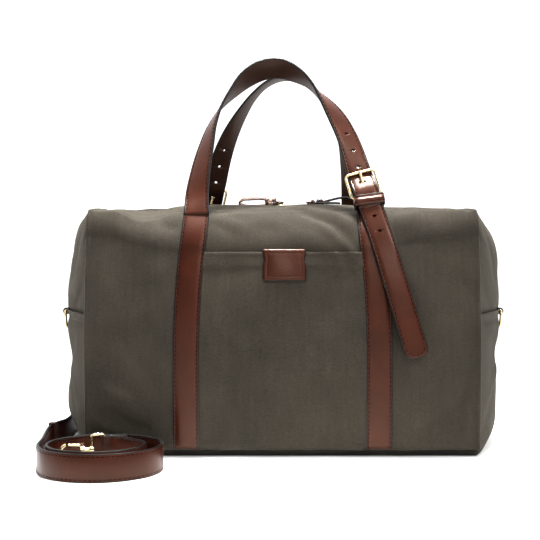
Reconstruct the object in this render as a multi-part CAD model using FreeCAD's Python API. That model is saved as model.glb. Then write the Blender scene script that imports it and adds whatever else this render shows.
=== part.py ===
"""Canvas duffel bag with leather handles and a detached shoulder strap. Millimetres, +Z up.

The origin is the centre of the bag's base, on the floor. +X runs along the bag to its right
end, and -Y is the front.
"""
import FreeCAD
import Part

import math
import os

Vector = FreeCAD.Vector

# Bag body
SEAM_X = 232.0            # half the distance between the two end seams
BASE_HALF = 88.0          # half width of the flat base
BASE_RADIUS = 22.0
SIDE_LOW = 110.0          # half depth just above the base radius
SIDE_MID = 118.0          # half depth at mid height
SIDE_TOP = 112.0          # half depth where the top starts to turn over
SIDE_MID_Z = 135.0
SIDE_TOP_Z = 243.0
SHOULDER = (99.0, 276.0)
CROWN_EDGE = (68.0, 289.0)
CROWN_Z = 304.0
SKIN = 3.0                # thickness of the padded canvas
LINING_GAP = 0.4
LINING = 1.2
DOME_CENTRE_Z = 148.0
END_DEPTH_LEFT = 47.0     # how far the left end bulges past its seam
END_DEPTH_RIGHT = 52.0
# each dome section: fraction of the bulge, scale across, scale in height
DOME_SECTIONS = [(0.0, 1.0, 1.0), (0.35, 0.78, 0.965), (0.7, 0.50, 0.88), (1.0, 0.17, 0.66)]
END_SEAM_Z = 170.0
BOTTOM_SEAM_Z = 8.0
ZIP_SLOT = 7.0            # half width of the slit between the two canvas edges

# Straps sewn on the body
BODY_STRAP_WIDTH = 31.0
STRAP_TOP_X = 104.0
STRAP_BASE_X = 114.0
STRAP_THICK = 2.8
SEWN_GAP = 0.3
STRAP_LEAVE_Z = 267.0     # height where a sewn strap leaves the canvas
LABEL_X = (-22.5, 26.5)
LABEL_LOW_Z = 209.5
LABEL_THICK = 1.5
POCKET_TOP_Z = 242.0
POCKET_THICK = 1.6

# Carrying handles
HANDLE_WIDTH = 30.0
HANDLE_THICK = 3.0
FLEX_LEFT = Vector(-103.0, -98.0, 292.5)     # where the left leg bends
BAR_CENTRE = Vector(102.0, -90.5, 312.0)     # centre of the buckle's pivot bar
BUCKLE_TILT = 14.5        # degrees, right side higher
BUCKLE_LEAN = 12.0        # degrees, leaning back
BUCKLE_WIDTH = 36.4       # between the side bars' centres
BUCKLE_HEIGHT = 30.6      # between the pivot bar and the top bar
WIRE_R = 1.8
TAIL_LEAN = 16.0          # degrees off vertical, seen from the front

# Zip hardware
ZIP_HALF = 222.0
TEETH_HALF = 2.7          # half width of the closed row of teeth
STOP_X = 212.0
SLIDER_X = (8.0, 28.0)
BAIL_LIFT = 3.0           # height of the pull's pivot above the crown
LACE_R = 1.5
KNOT_R = 3.8
KNOT_WIRE_R = 1.3

# Rings and shoulder strap
RING_WIRE_R = 1.9
RING_Z = 168.0
RING_HALF = 13.0          # half length of the ring's straight side
RING_BOW = [(-13, 0), (-13.5, -8), (-8, -18.5), (0, -22), (8, -18.5), (13.5, -8), (13, 0)]
TAB_HALF = 10.0
TAB_LOOP_IN = 2.3
TAB_LOOP_OUT = 4.4
COIL_CENTRE = (-203.0, -168.0)
SHOULDER_WIDTH = 30.0
SHOULDER_THICK = 3.4
RAISE = 2.6               # lift of the strap at its buckle and rings
COIL_STEPS = 26
COIL_TURNS = 1.72
COIL_INNER = (45.0, 30.0)     # half axes where the coil starts
COIL_GROWTH = (23.0, 20.5)    # how much they grow over the first turns
COIL_GROW_TURNS = 1.2

BIG = 400.0               # larger than the bag, for trimming shapes
parts = {}


def unit(v):
    """The vector scaled to length one."""
    return v * (1.0 / v.Length)


def arc(a, b, c):
    """Edge of the circular arc through three points."""
    return Part.Arc(a, b, c).toShape()


def line(a, b):
    """Straight edge."""
    return Part.LineSegment(a, b).toShape()


def box(x0, x1, y0, y1, z0, z1):
    """Box between two corners."""
    return Part.makeBox(x1 - x0, y1 - y0, z1 - z0, Vector(x0, y0, z0))


def outline(x, across=1.0, height=1.0, inset=0.0):
    """The bag's closed cross-section at x, scaled about its middle and drawn in by inset."""
    def point(y, z, iy, iz):
        z = DOME_CENTRE_Z + (z - DOME_CENTRE_Z) * height
        return Vector(x, y * across - iy * inset, z - iz * inset)

    k = math.sqrt(0.5)
    low = point(BASE_HALF, 0.0, 0.0, -1.0)
    low_mid = point(BASE_HALF + BASE_RADIUS * k, BASE_RADIUS * (1 - k), k, -k)
    side0 = point(SIDE_LOW, BASE_RADIUS, 1.0, 0.0)
    side1 = point(SIDE_MID, SIDE_MID_Z, 1.0, 0.0)
    side2 = point(SIDE_TOP, SIDE_TOP_Z, 1.0, 0.0)
    shoulder = point(SHOULDER[0], SHOULDER[1], k, k)
    crown0 = point(CROWN_EDGE[0], CROWN_EDGE[1], 0.3, 0.95)
    crown1 = point(0.0, CROWN_Z, 0.0, 1.0)

    def back(p):
        return Vector(p.x, -p.y, p.z)

    front = [back(p) for p in (low, low_mid, side0, side1, side2, shoulder, crown0)]
    edges = [
        line(low, front[0]),
        arc(front[0], front[1], front[2]),
        arc(front[2], front[3], front[4]),
        arc(front[4], front[5], front[6]),
        arc(front[6], crown1, crown0),
        arc(crown0, shoulder, side2),
        arc(side2, side1, side0),
        arc(side0, low_mid, low),
    ]
    return Part.Wire(edges)


def dome(side, depth, inset):
    """One bulging end, from the seam outward."""
    wires = []
    for reach, across, height in DOME_SECTIONS:
        x = side * (SEAM_X - 0.5 + (depth + 0.5 - inset) * reach)
        wires.append(outline(x, across, height, inset))
    return Part.makeLoft(wires, True, False)


def bag_solid(inset):
    """The whole bag as one solid, drawn in by inset on every side."""
    middle = Part.Face(outline(-SEAM_X, inset=inset)).extrude(Vector(2 * SEAM_X, 0, 0))
    return middle.fuse([dome(-1, END_DEPTH_LEFT, inset), dome(1, END_DEPTH_RIGHT, inset)])


def sewn_band(gap, thick, x0, x1):
    """A layer lying on the outside of the straight part of the body."""
    outer = Part.Face(outline(x0, inset=-gap - thick)).extrude(Vector(x1 - x0, 0, 0))
    inner = Part.Face(outline(x0, inset=-gap)).extrude(Vector(x1 - x0, 0, 0))
    return outer.cut(inner)


def half_turn(shape):
    """The same shape turned half a turn about Z."""
    turned = shape.copy()
    turned.rotate(Vector(0, 0, 0), Vector(0, 0, 1), 180)
    return turned


def tube(points, radius, closed=False):
    """Round rod along a smooth or polygonal path of points joined by rounded corners."""
    spline = Part.BSplineCurve()
    spline.interpolate(points, PeriodicFlag=closed)
    path = Part.Wire([spline.toShape()])
    start = spline.value(spline.FirstParameter)
    way = spline.tangent(spline.FirstParameter)[0]
    ring = Part.Wire([Part.Circle(start, way, radius).toShape()])
    return path.makePipeShell([ring], True, True)


def rounded_loop(centre, across, up, width, height, corner):
    """Closed wire of a rectangle with rounded corners, in the plane of across and up."""
    def at(a, u):
        return centre + across * a + up * u

    w, h, r = width / 2, height / 2, corner
    k = r * (1 - math.sqrt(0.5))
    edges = []
    for sa, su in ((1, 1), (-1, 1), (-1, -1), (1, -1)):
        along = at(sa * (w - r), su * h)
        side = at(sa * w, su * (h - r))
        mid = at(sa * (w - k), su * (h - k))
        first, last = (side, along) if sa * su > 0 else (along, side)
        edges.append(arc(first, mid, last))
    wires = []
    for i, edge in enumerate(edges):
        wires.append(edge)
        following = edges[(i + 1) % 4]
        wires.append(line(edge.Vertexes[-1].Point, following.Vertexes[0].Point))
    return Part.Wire(wires)


def wire_frame(centre, across, up, width, height, corner, radius):
    """Round wire bent to a rounded rectangle; width and height are between wire centres."""
    path = rounded_loop(centre, across, up, width, height, corner)
    edge = path.Edges[1]
    start = edge.valueAt((edge.FirstParameter + edge.LastParameter) / 2)
    way = edge.tangentAt(edge.FirstParameter)
    ring = Part.Wire([Part.Circle(edge.Vertexes[0].Point, way, radius).toShape()])
    ordered = Part.Wire(path.Edges[1:] + path.Edges[:1])
    return ordered.makePipeShell([ring], True, True)


def slab(centre, a, b, c, size):
    """Box of the given size along three perpendicular directions, about its centre."""
    la, lb, lc = size
    corner = centre - a * (la / 2) - b * (lb / 2) - c * (lc / 2)
    pts = [corner, corner + a * la, corner + a * la + b * lb, corner + b * lb, corner]
    return Part.Face(Part.makePolygon(pts)).extrude(c * lc)


def ribbon(stations, width, thick):
    """Flat strap along stations of (x, y, z, turn).

    turn is how far, in degrees, the strap's outer edge has turned to the back from lying
    flat to the front.
    """
    points = [Vector(*s[:3]) for s in stations]
    wires = []
    for i, station in enumerate(stations):
        way = unit(points[min(i + 1, len(points) - 1)] - points[max(i - 1, 0)])
        out = unit(way.cross(Vector(0, 1, 0)))
        back = unit(out.cross(way))
        if back.y < 0:
            back = back * -1.0
        turn = math.radians(station[3])
        wide = out * math.cos(turn) + back * math.sin(turn)
        face = way.cross(wide)
        w, t = wide * (width / 2), face * (thick / 2)
        p = points[i]
        wires.append(Part.makePolygon([p - w - t, p + w - t, p + w + t, p - w + t, p - w - t]))
    return Part.makeLoft(wires, True, False)


# ---------------------------------------------------------------- bag body
outer = bag_solid(0.0)
skin = outer.cut(bag_solid(SKIN))
parts["front_panel"] = skin.common(box(-SEAM_X, SEAM_X, -BIG, -ZIP_SLOT, BOTTOM_SEAM_Z, BIG))
parts["back_panel"] = skin.common(box(-SEAM_X, SEAM_X, ZIP_SLOT, BIG, BOTTOM_SEAM_Z, BIG))
parts["bottom_panel"] = skin.common(box(-SEAM_X, SEAM_X, -BIG, BIG, -1, BOTTOM_SEAM_Z))
for side, x0, x1 in (("left", -BIG, -SEAM_X), ("right", SEAM_X, BIG)):
    parts[side + "_end_upper"] = skin.common(box(x0, x1, -BIG, BIG, END_SEAM_Z, BIG))
    parts[side + "_end_lower"] = skin.common(box(x0, x1, -BIG, BIG, -1, END_SEAM_Z))

LINING_IN = SKIN + LINING_GAP
lining = bag_solid(LINING_IN).cut(bag_solid(LINING_IN + LINING))
SLIT_HALF = 19.0          # half width of the lining's opening under the zip
slit = box(-SEAM_X, SEAM_X, -SLIT_HALF, SLIT_HALF, 250, BIG)
parts["lining"] = lining.cut(slit)
BOARD_LOW = LINING_IN + LINING + 0.3
BOARD_HALF = (215.0, 82.0)
BOARD_THICK = 2.5
parts["base_board"] = box(-BOARD_HALF[0], BOARD_HALF[0], -BOARD_HALF[1], BOARD_HALF[1],
                          BOARD_LOW, BOARD_LOW + BOARD_THICK)

# ---------------------------------------------------------------- zip
TAPE_TOP = CROWN_Z - SKIN - 0.5
TEETH_TOP = TAPE_TOP - 0.6
TAPE_FLAT_TOP = TAPE_TOP - 1.2
for name, sign in (("front", -1), ("back", 1)):
    tape_y = sorted((sign * (TEETH_HALF + 0.2), sign * 18.0))
    parts["zip_tape_" + name] = box(-ZIP_HALF, ZIP_HALF, tape_y[0], tape_y[1],
                                    TAPE_FLAT_TOP - 1.0, TAPE_FLAT_TOP)
parts["zip_teeth"] = box(-ZIP_HALF + 6, ZIP_HALF - 6, -TEETH_HALF, TEETH_HALF, TEETH_TOP - 2.2, TEETH_TOP)
stops = [box(x - 2, x + 2, -4.2, 4.2, TEETH_TOP + 0.1, TAPE_TOP + 0.9) for x in (-STOP_X, STOP_X)]
parts["zip_end_stops"] = Part.makeCompound(stops)

# ---------------------------------------------------------------- leather on the body
STRAP_HEIGHTS = [BOTTOM_SEAM_Z + 1, 100.0, 150.0, 190.0, 220.0, 245.0, STRAP_LEAVE_Z]


def strap_x(z):
    """Distance of a sewn strap's middle from the bag's middle: upright, then leaning in at the top."""
    share = (z - BOTTOM_SEAM_Z) / (STRAP_LEAVE_Z - BOTTOM_SEAM_Z)
    return STRAP_BASE_X - (STRAP_BASE_X - STRAP_TOP_X) * share ** 4


def strap_prism(side, width):
    """Slanted prism that trims a sewn strap to its width."""
    half = width / 2
    pts = [Vector(side * strap_x(z) - half, -BIG, z) for z in STRAP_HEIGHTS]
    pts += [Vector(side * strap_x(z) + half, -BIG, z) for z in reversed(STRAP_HEIGHTS)]
    return Part.Face(Part.makePolygon(pts + pts[:1])).extrude(Vector(0, BIG - 60, 0))


def shoulder_circle():
    """Centre (y, z) and radius of the arc where the front turns over into the top."""
    edge = arc(Vector(0, -SIDE_TOP, SIDE_TOP_Z), Vector(0, -SHOULDER[0], SHOULDER[1]),
               Vector(0, -CROWN_EDGE[0], CROWN_EDGE[1]))
    return edge.Curve.Center, edge.Curve.Radius


def body_strap(side, top, top_wide, top_face):
    """Strap sewn up the front of the bag and standing free above the canvas up to top.

    top_wide and top_face are the directions across and out of the strap where it ends.
    """
    band = sewn_band(SEWN_GAP, STRAP_THICK, side * 120 - 40, side * 120 + 40)
    sewn = band.common(strap_prism(side, BODY_STRAP_WIDTH))
    middle, radius = shoulder_circle()
    rise = (STRAP_LEAVE_Z - middle.z) / radius
    outward = Vector(0, -math.sqrt(1 - rise * rise), rise)
    tangent = Vector(0, rise, math.sqrt(1 - rise * rise))
    leave = middle + outward * (radius + SEWN_GAP + STRAP_THICK / 2) + Vector(side * STRAP_TOP_X, 0, 0)
    halfway = (leave + top) * 0.5 + outward * 1.2
    wires = []
    below = leave - tangent * 3.0
    above = leave + tangent * 1.5
    for point, share in ((below, 0.0), (above, 0.0), (halfway, 0.5), (top, 1.0)):
        wide = unit(Vector(1, 0, 0) * (1 - share) + top_wide * share) * (BODY_STRAP_WIDTH / 2)
        face = unit(outward * (1 - share) + top_face * share) * (STRAP_THICK / 2)
        corners = [point - wide - face, point + wide - face, point + wide + face, point - wide + face]
        wires.append(Part.makePolygon(corners + corners[:1]))
    return sewn.fuse(Part.makeLoft(wires, True, True))


tilt = math.radians(BUCKLE_TILT)
lean = math.radians(BUCKLE_LEAN)
ACROSS = Vector(math.cos(tilt), 0, math.sin(tilt))
UP = Vector(-math.sin(tilt) * math.cos(lean), math.sin(lean), math.cos(tilt) * math.cos(lean))
FORWARD = ACROSS.cross(UP)


def at_buckle(a, u, f):
    """Point of the buckle's own frame: across, up the frame, and out to the front."""
    return BAR_CENTRE + ACROSS * a + UP * u + FORWARD * f


LEFT_TOP = FLEX_LEFT - Vector(0, -0.6, 1.5)
ANCHOR_FOOT = at_buckle(-1.5, -21.4, -0.5)
front_left = body_strap(-1, LEFT_TOP, Vector(1, 0, 0), unit(Vector(0, -1, 0.4)))
front_right = body_strap(1, ANCHOR_FOOT, ACROSS, FORWARD)
parts["front_strap_left"] = front_left
parts["front_strap_right"] = front_right
parts["back_strap_left"] = half_turn(front_right)
parts["back_strap_right"] = half_turn(front_left)

pocket = sewn_band(SEWN_GAP, POCKET_THICK, -100, 100)
POCKET_HEIGHTS = STRAP_HEIGHTS[:-2] + [POCKET_TOP_Z]
POCKET_GAP = BODY_STRAP_WIDTH / 2 + 0.6
inner_edge = [Vector(strap_x(z) - POCKET_GAP, -BIG, z) for z in POCKET_HEIGHTS]
mirrored_edge = [Vector(-p.x, p.y, p.z) for p in reversed(inner_edge)]
trim = Part.makePolygon(inner_edge + mirrored_edge + inner_edge[:1])
parts["front_pocket"] = pocket.common(Part.Face(trim).extrude(Vector(0, BIG - 60, 0)))
label = sewn_band(SEWN_GAP + POCKET_THICK + 0.2, LABEL_THICK, LABEL_X[0], LABEL_X[1])
parts["pocket_label"] = label.common(box(LABEL_X[0], LABEL_X[1], -BIG, 0, LABEL_LOW_Z, POCKET_TOP_Z + 3.5))

# ---------------------------------------------------------------- carrying handles
# The loop's centre line, hand set: x, y, z, turn. It ends under the buckle's top bar.
HANDLE_ROUTE = [
    (FLEX_LEFT.x - 0.2, FLEX_LEFT.y + 0.7, FLEX_LEFT.z + 1.6, 4),
    (-103.6, -90.2, 311.8, 15),
    (-101.5, -81.4, 336, 30),
    (-95, -68, 374, 47),
    (-88, -59.7, 403, 65),
    (-77.3, -53.4, 427, 82),
    (-62.5, -48.5, 447, 101),
    (-44, -44.8, 466, 122),
    (-24, -43, 477, 132),
    (-2, -43, 479, 130),
    (19, -44.5, 470.5, 113),
    (38, -47, 456.5, 90),
    (54, -51, 438, 62),
    (69, -56.5, 414.5, 38),
    (80, -62.8, 391, 27),
    (88.2, -70.8, 366, 16),
]
STRAP_BEHIND = WIRE_R + 0.5 + HANDLE_THICK / 2


def buckle_station(u, f, turn):
    """Handle station at height u in the buckle's frame."""
    p = at_buckle(0, u, f)
    return (p.x, p.y, p.z, turn)


handle = ribbon(
    HANDLE_ROUTE + [
        buckle_station(BUCKLE_HEIGHT + 8, -STRAP_BEHIND - 0.8, 6),
        buckle_station(BUCKLE_HEIGHT - 2, -STRAP_BEHIND + 0.3, 1),
        buckle_station(17.8, 1.2, 0),
    ], HANDLE_WIDTH, HANDLE_THICK)
HOLE_R = 2.1
HOLE_AXIS = Vector(0, 1, 0.12)
for middle in (Vector(80.0, -63.5, 391.0), Vector(87.0, -70.0, 369.0), Vector(92.0, -77.5, 347.5)):
    handle = handle.cut(Part.makeCylinder(HOLE_R, 24, middle - HOLE_AXIS * 12, HOLE_AXIS))

frame_mid = at_buckle(0, BUCKLE_HEIGHT / 2, 0)
buckle = wire_frame(frame_mid, ACROSS, UP, BUCKLE_WIDTH, BUCKLE_HEIGHT, 5.0, WIRE_R)
PRONG_R = 1.6
tip = at_buckle(0, BUCKLE_HEIGHT + 1.6, WIRE_R + PRONG_R + 0.15)
root = at_buckle(0, 3.4, 0.6)
prong = Part.makeCylinder(PRONG_R, (tip - root).Length, root, tip - root)
eye = Part.makeCylinder(4.0, 4.4, at_buckle(-2.2, 0, 0), ACROSS)
prong = prong.fuse(eye).cut(Part.makeCylinder(WIRE_R + 0.1, 12, at_buckle(-6, 0, 0), ACROSS))
prong_room = Part.makeCylinder(PRONG_R + 0.6, (tip - root).Length + 2, root, tip - root)
handle = handle.cut(prong_room)

LOOP_IN = 4.3             # inner and outer radius of the leather round the pivot bar
LOOP_OUT = 6.1


def anchor_half(a0, a1):
    """One leather strip going round the pivot bar and down, beside the prong."""
    width = a1 - a0
    start = at_buckle(a0, 0, 0)
    ring = Part.makeCylinder(LOOP_OUT, width, start, ACROSS)
    ring = ring.cut(Part.makeCylinder(LOOP_IN, width, start, ACROSS))
    upper = slab(at_buckle((a0 + a1) / 2, 5, 0), ACROSS, UP, FORWARD, (width + 2, 10, 20))
    ring = ring.common(upper)
    mid = (LOOP_IN + LOOP_OUT) / 2
    legs = []
    for side in (-1, 1):
        centre = at_buckle((a0 + a1) / 2, -7.0, side * mid)
        legs.append(slab(centre, ACROSS, UP, FORWARD, (width, 14, LOOP_OUT - LOOP_IN)))
    return ring.fuse(legs)


foot = slab(at_buckle(0, -17.2, 0), ACROSS, UP, FORWARD, (26, 6.6, 2 * LOOP_OUT))
anchor = anchor_half(-13, -3).fuse([anchor_half(3, 13), foot])
anchor = anchor.removeSplitter()

KEEPER_TILT = math.radians(9.0)
K_ACROSS = Vector(math.cos(KEEPER_TILT), 0, math.sin(KEEPER_TILT))
K_UP = Vector(-math.sin(KEEPER_TILT) * math.cos(lean), math.sin(lean),
              math.cos(KEEPER_TILT) * math.cos(lean))
K_FORWARD = K_ACROSS.cross(K_UP)
MID_CENTRE_F = LOOP_OUT + 0.3 + HANDLE_THICK / 2
passage_mid = at_buckle(0.4, -7.5, MID_CENTRE_F)
passage = slab(passage_mid, ACROSS, UP, FORWARD, (HANDLE_WIDTH, 17, HANDLE_THICK))
keeper_mid = at_buckle(0.6, -9.0, (MID_CENTRE_F + HANDLE_THICK / 2 - LOOP_OUT) / 2)
K_DEPTH = MID_CENTRE_F + HANDLE_THICK / 2 + LOOP_OUT + 0.6
K_WIDTH = 31.4            # clear width inside the keeper
K_HEIGHT = 11.0
K_WALL = 1.7
keeper = slab(keeper_mid, K_ACROSS, K_UP, K_FORWARD, (K_WIDTH + 2 * K_WALL, K_HEIGHT, K_DEPTH + 2 * K_WALL))
keeper = keeper.cut(slab(keeper_mid, K_ACROSS, K_UP, K_FORWARD, (K_WIDTH, K_HEIGHT + 2, K_DEPTH)))
keeper = keeper.cut([anchor, passage])

TAIL_TOP = at_buckle(0.4, -18.0, MID_CENTRE_F + 1.2)
drop = math.tan(math.radians(TAIL_LEAN))
TAIL_ROUTE = [(0, 0), (-12, -4.3), (-30, -11.2), (-52, -17.0), (-80, -21.5), (-120, -26.0), (-160, -29.5),
              (-176, -31.0)]


def tail_point(dz, dy):
    """Point of the tail, dz below its top and dy in front of it."""
    return Vector(TAIL_TOP.x - dz * drop, TAIL_TOP.y + dy, TAIL_TOP.z + dz)


tail_stations = []
for dz, dy in TAIL_ROUTE:
    station = tail_point(dz, dy)
    tail_stations.append((station.x, station.y, station.z, 0))
tail = ribbon(tail_stations, HANDLE_WIDTH - 1, HANDLE_THICK)
tail_end = tail_point(*TAIL_ROUTE[-1])
tail_way = unit(tail_end - tail_point(*TAIL_ROUTE[-2]))
tail_wide = unit(tail_way.cross(Vector(0, 1, 0)))
TAIL_END_R = (HANDLE_WIDTH - 1) / 2
rounding_from = tail_end - tail_way * TAIL_END_R - Vector(0, 30, 0)
rounding = Part.makeCylinder(TAIL_END_R, 60, rounding_from, Vector(0, 1, 0))
square = slab(tail_end, tail_wide, tail_way, tail_wide.cross(tail_way), (60, 2 * TAIL_END_R, 60))
tail = tail.cut(square.cut(rounding))
TAIL_HOLES = [(-13, -4.7), (-33, -12.0)]
for dz, dy in TAIL_HOLES:
    hole_at = tail_point(dz, dy)
    tail = tail.cut(Part.makeCylinder(HOLE_R, 24, hole_at - Vector(0, 12, 0), Vector(0, 1, 0)))

handle_parts = {
    "handle": handle, "buckle": buckle, "prong": prong, "anchor": anchor,
    "keeper": keeper, "strap_passage": passage, "tail": tail,
}
for name, shape in handle_parts.items():
    parts["front_" + name] = shape
    parts["back_" + name] = half_turn(shape)

# ---------------------------------------------------------------- zip sliders and pulls
for side, x, sign in (("left", SLIDER_X[0], -1), ("right", SLIDER_X[1], 1)):
    plate = box(x - 8, x + 8, -5, 5, CROWN_Z - 1.6, CROWN_Z + 0.6)
    plate = plate.fuse(box(x - 1.2, x + 1.2, -5, 5, CROWN_Z + 0.5, CROWN_Z + 1.2))
    bridge = box(x - sign * 5 - 1.5, x - sign * 5 + 1.5, -1.1, 1.1, CROWN_Z + 0.5, CROWN_Z + 4.6)
    parts[side + "_slider"] = plate.fuse([bridge]).removeSplitter()
    pin = Vector(x + sign * 1.0, 0, CROWN_Z + BAIL_LIFT)
    loop = wire_frame(pin + Vector(sign * 5.5, 0, 0.5), Vector(1, 0, 0), Vector(0, 1, 0), 11, 8, 2.5, 0.9)
    parts[side + "_bail"] = loop

LEFT_LACE = [Vector(-4, 0, 310.3), Vector(-14, 1, 309), Vector(-26, -1, 307.6), Vector(-40, 0, 307.4),
             Vector(-50, 1, 307.8), Vector(-55, 2, 311), Vector(-52, 2, 315.5), Vector(-42, 1, 316.4),
             Vector(-30, 1, 315.4), Vector(-22, 1, 314)]
RIGHT_LACE = [Vector(40, 0, 310.3), Vector(50, 1, 309), Vector(60, 0, 312), Vector(72, -1, 316),
              Vector(84, -2, 318), Vector(90, -3, 316)]
RIGHT_LACE_LOW = [Vector(50, -5.6, 308.6), Vector(58, -6.4, 307.6), Vector(70, -8, 306.6)]
parts["left_lace"] = tube(LEFT_LACE, LACE_R)
parts["right_lace"] = tube(RIGHT_LACE, LACE_R)
parts["right_lace_low"] = tube(RIGHT_LACE_LOW, LACE_R)
for side, x in (("left", -16), ("right", 47)):
    parts[side + "_knot"] = Part.makeTorus(KNOT_R, KNOT_WIRE_R, Vector(x, 0.8, 309.1), Vector(1, 0, 0))

# ---------------------------------------------------------------- D-rings on the ends
for side, sign, depth in (("left", -1, END_DEPTH_LEFT), ("right", 1, END_DEPTH_RIGHT)):
    face = SEAM_X + depth
    bar = Vector(sign * (face + 4.8), 0, RING_Z)
    tab_start = bar - Vector(0, TAB_HALF, 0)
    tab_loop = Part.makeCylinder(TAB_LOOP_OUT, 2 * TAB_HALF, tab_start, Vector(0, 1, 0))
    tab_loop = tab_loop.cut(Part.makeCylinder(TAB_LOOP_IN, 2 * TAB_HALF, tab_start, Vector(0, 1, 0)))
    flap = box(face + 0.3, face + 2.3, -TAB_HALF, TAB_HALF, RING_Z - 2, RING_Z + 22)
    if sign < 0:
        flap = half_turn(flap)
    parts[side + "_ring_tab"] = tab_loop.fuse(flap).removeSplitter()
    hoop = tube([bar + Vector(0, y, z) for y, z in RING_BOW], RING_WIRE_R)
    rod = Part.makeCylinder(RING_WIRE_R, 2 * RING_HALF, bar - Vector(0, RING_HALF, 0), Vector(0, 1, 0))
    balls = [Part.makeSphere(RING_WIRE_R, bar + Vector(0, y, 0)) for y in (-RING_HALF, RING_HALF)]
    parts[side + "_d_ring"] = hoop.fuse([rod] + balls)

# ---------------------------------------------------------------- detached shoulder strap
def coil_point(turns):
    """Point of the oval coil after so many turns, going round clockwise seen from above."""
    grow = min(turns, COIL_GROW_TURNS) / COIL_GROW_TURNS
    angle = math.radians(90 - 360 * turns)
    x = COIL_CENTRE[0] + (COIL_INNER[0] + COIL_GROWTH[0] * grow) * math.cos(angle)
    y = COIL_CENTRE[1] + (COIL_INNER[1] + COIL_GROWTH[1] * grow) * math.sin(angle)
    return Vector(x, y, 0)


route = [coil_point(COIL_TURNS * i / COIL_STEPS) for i in range(COIL_STEPS + 1)]
SIDE_ROUTE = [(-276, -138), (-281, -112), (-284, -86), (-283, -58), (-279, -30), (-277.5, 5), (-279, 40),
              (-284, 75), (-291, 110), (-296, 142)]
route += [Vector(x, y, 0) for x, y in SIDE_ROUTE]
BUCKLE_AT = len(route) - 4
KEEPER_AT = len(route) - 8
LIFTED = {0: 1.0, 1: 0.4, KEEPER_AT: 0.7, KEEPER_AT + 1: 0.7, BUCKLE_AT - 1: 0.6, BUCKLE_AT: 1.0,
          BUCKLE_AT + 1: 0.8, len(route) - 2: 0.8, len(route) - 1: 1.0}


def heading(i):
    """Direction of the shoulder strap at station i."""
    return unit(route[min(i + 1, len(route) - 1)] - route[max(i - 1, 0)])


Z = Vector(0, 0, 1)
strap_wires = []
for i, p in enumerate(route):
    half_thick = Z.cross(heading(i)) * (SHOULDER_THICK / 2)
    low = p + Z * (RAISE * LIFTED.get(i, 0.0))
    high = low + Z * SHOULDER_WIDTH
    strap_wires.append(Part.makePolygon([low - half_thick, low + half_thick, high + half_thick,
                                         high - half_thick, low - half_thick]))
parts["shoulder_strap"] = Part.makeLoft(strap_wires, True, False)

MID_Z = RAISE + SHOULDER_WIDTH / 2
S_BUCKLE_LENGTH = 26.0    # along the strap, between the wire's centres
S_BUCKLE_WIRE_R = 1.7
S_BUCKLE_OFF = SHOULDER_THICK / 2 + 3.4
buckle_way = heading(BUCKLE_AT)
buckle_out = Z.cross(buckle_way)
frame_at = route[BUCKLE_AT] + Z * MID_Z + buckle_out * S_BUCKLE_OFF
parts["shoulder_buckle"] = wire_frame(frame_at, buckle_way, Z, S_BUCKLE_LENGTH, 31.6, 4, S_BUCKLE_WIRE_R)
pivot = frame_at - buckle_way * (S_BUCKLE_LENGTH / 2)
prong_rod = Part.makeCylinder(1.2, 24, pivot + buckle_way * 1.6 + buckle_out * 3.2, buckle_way)
prong_eye = Part.makeCylinder(3.0, 4, pivot - Z * 2, Z)
prong_eye = prong_eye.cut(Part.makeCylinder(S_BUCKLE_WIRE_R + 0.05, 8, pivot - Z * 4, Z))
parts["shoulder_prong"] = prong_rod.fuse(prong_eye)
keeper_at = (route[KEEPER_AT] + route[KEEPER_AT + 1]) * 0.5 + Z * (SHOULDER_WIDTH / 2 + 1.9)
keeper_way = unit(route[KEEPER_AT + 1] - route[KEEPER_AT])
keeper_side = Vector(keeper_way.y, -keeper_way.x, 0)
band = slab(keeper_at, keeper_way, keeper_side, Z, (11, SHOULDER_THICK + 4.4, SHOULDER_WIDTH + 3.6))
parts["shoulder_keeper"] = band.cut(
    slab(keeper_at, keeper_way, keeper_side, Z, (13, SHOULDER_THICK + 1.6, SHOULDER_WIDTH + 1.4)))

END_RING = (14.0, 32.4)   # length and height of the square rings, between wire centres
END_RING_WIRE_R = 1.6
RING_AHEAD = 9.4          # from the strap's end to the ring's centre


def snap_hook(name, end_point, outward):
    """Square ring at a strap end, with a swivelling snap hook and its gate."""
    ring_centre = end_point + outward * RING_AHEAD + Z * MID_Z
    parts[name + "_ring"] = wire_frame(ring_centre, outward, Z, END_RING[0], END_RING[1], 3, END_RING_WIRE_R)
    ball_at = ring_centre + outward * (END_RING[0] / 2)
    ball = Part.makeSphere(3.9, ball_at)
    stem = Part.makeCylinder(2.4, 8, ball_at, outward)
    room = wire_frame(ring_centre, outward, Z, END_RING[0], END_RING[1], 3, END_RING_WIRE_R + 0.15)
    parts[name + "_eye"] = ball.fuse(stem).cut(room)
    start = ball_at + outward * 8.3
    collar = Part.makeCylinder(4.2, 4.5, start, outward)
    lug = slab(start + outward * 2.6 + Z * 5.2, outward, outward.cross(Z), Z, (3.8, 3.4, 4.4))
    hook_path = [start + outward * a - Z * b for a, b in (
        (3.0, 2.6), (8, 6.4), (15, 8.6), (22, 7.4), (26.5, 2.4), (25.2, -3.4), (20.5, -6.4))]
    parts[name + "_hook"] = collar.fuse([tube(hook_path, 1.9), lug])
    gate_from = start + outward * 5.2 + Z * 5.4
    gate_to = start + outward * 18.0 + Z * 6.6
    gate_way = gate_to - gate_from
    parts[name + "_gate"] = Part.makeCylinder(1.5, gate_way.Length, gate_from, gate_way)


snap_hook("inner", route[0], unit(Vector(-1, -0.35, 0)))
snap_hook("outer", route[-1], heading(len(route) - 1))

# ---------------------------------------------------------------- write one STEP per piece
os.makedirs("parts", exist_ok=True)
for name, shape in parts.items():
    shape.exportStep(os.path.join("parts", name + ".step"))
print(len(parts), "pieces")
for name, shape in sorted(parts.items()):
    if not shape.isValid() or not shape.Solids:
        print("CHECK", name, shape.isValid(), len(shape.Solids))
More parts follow.
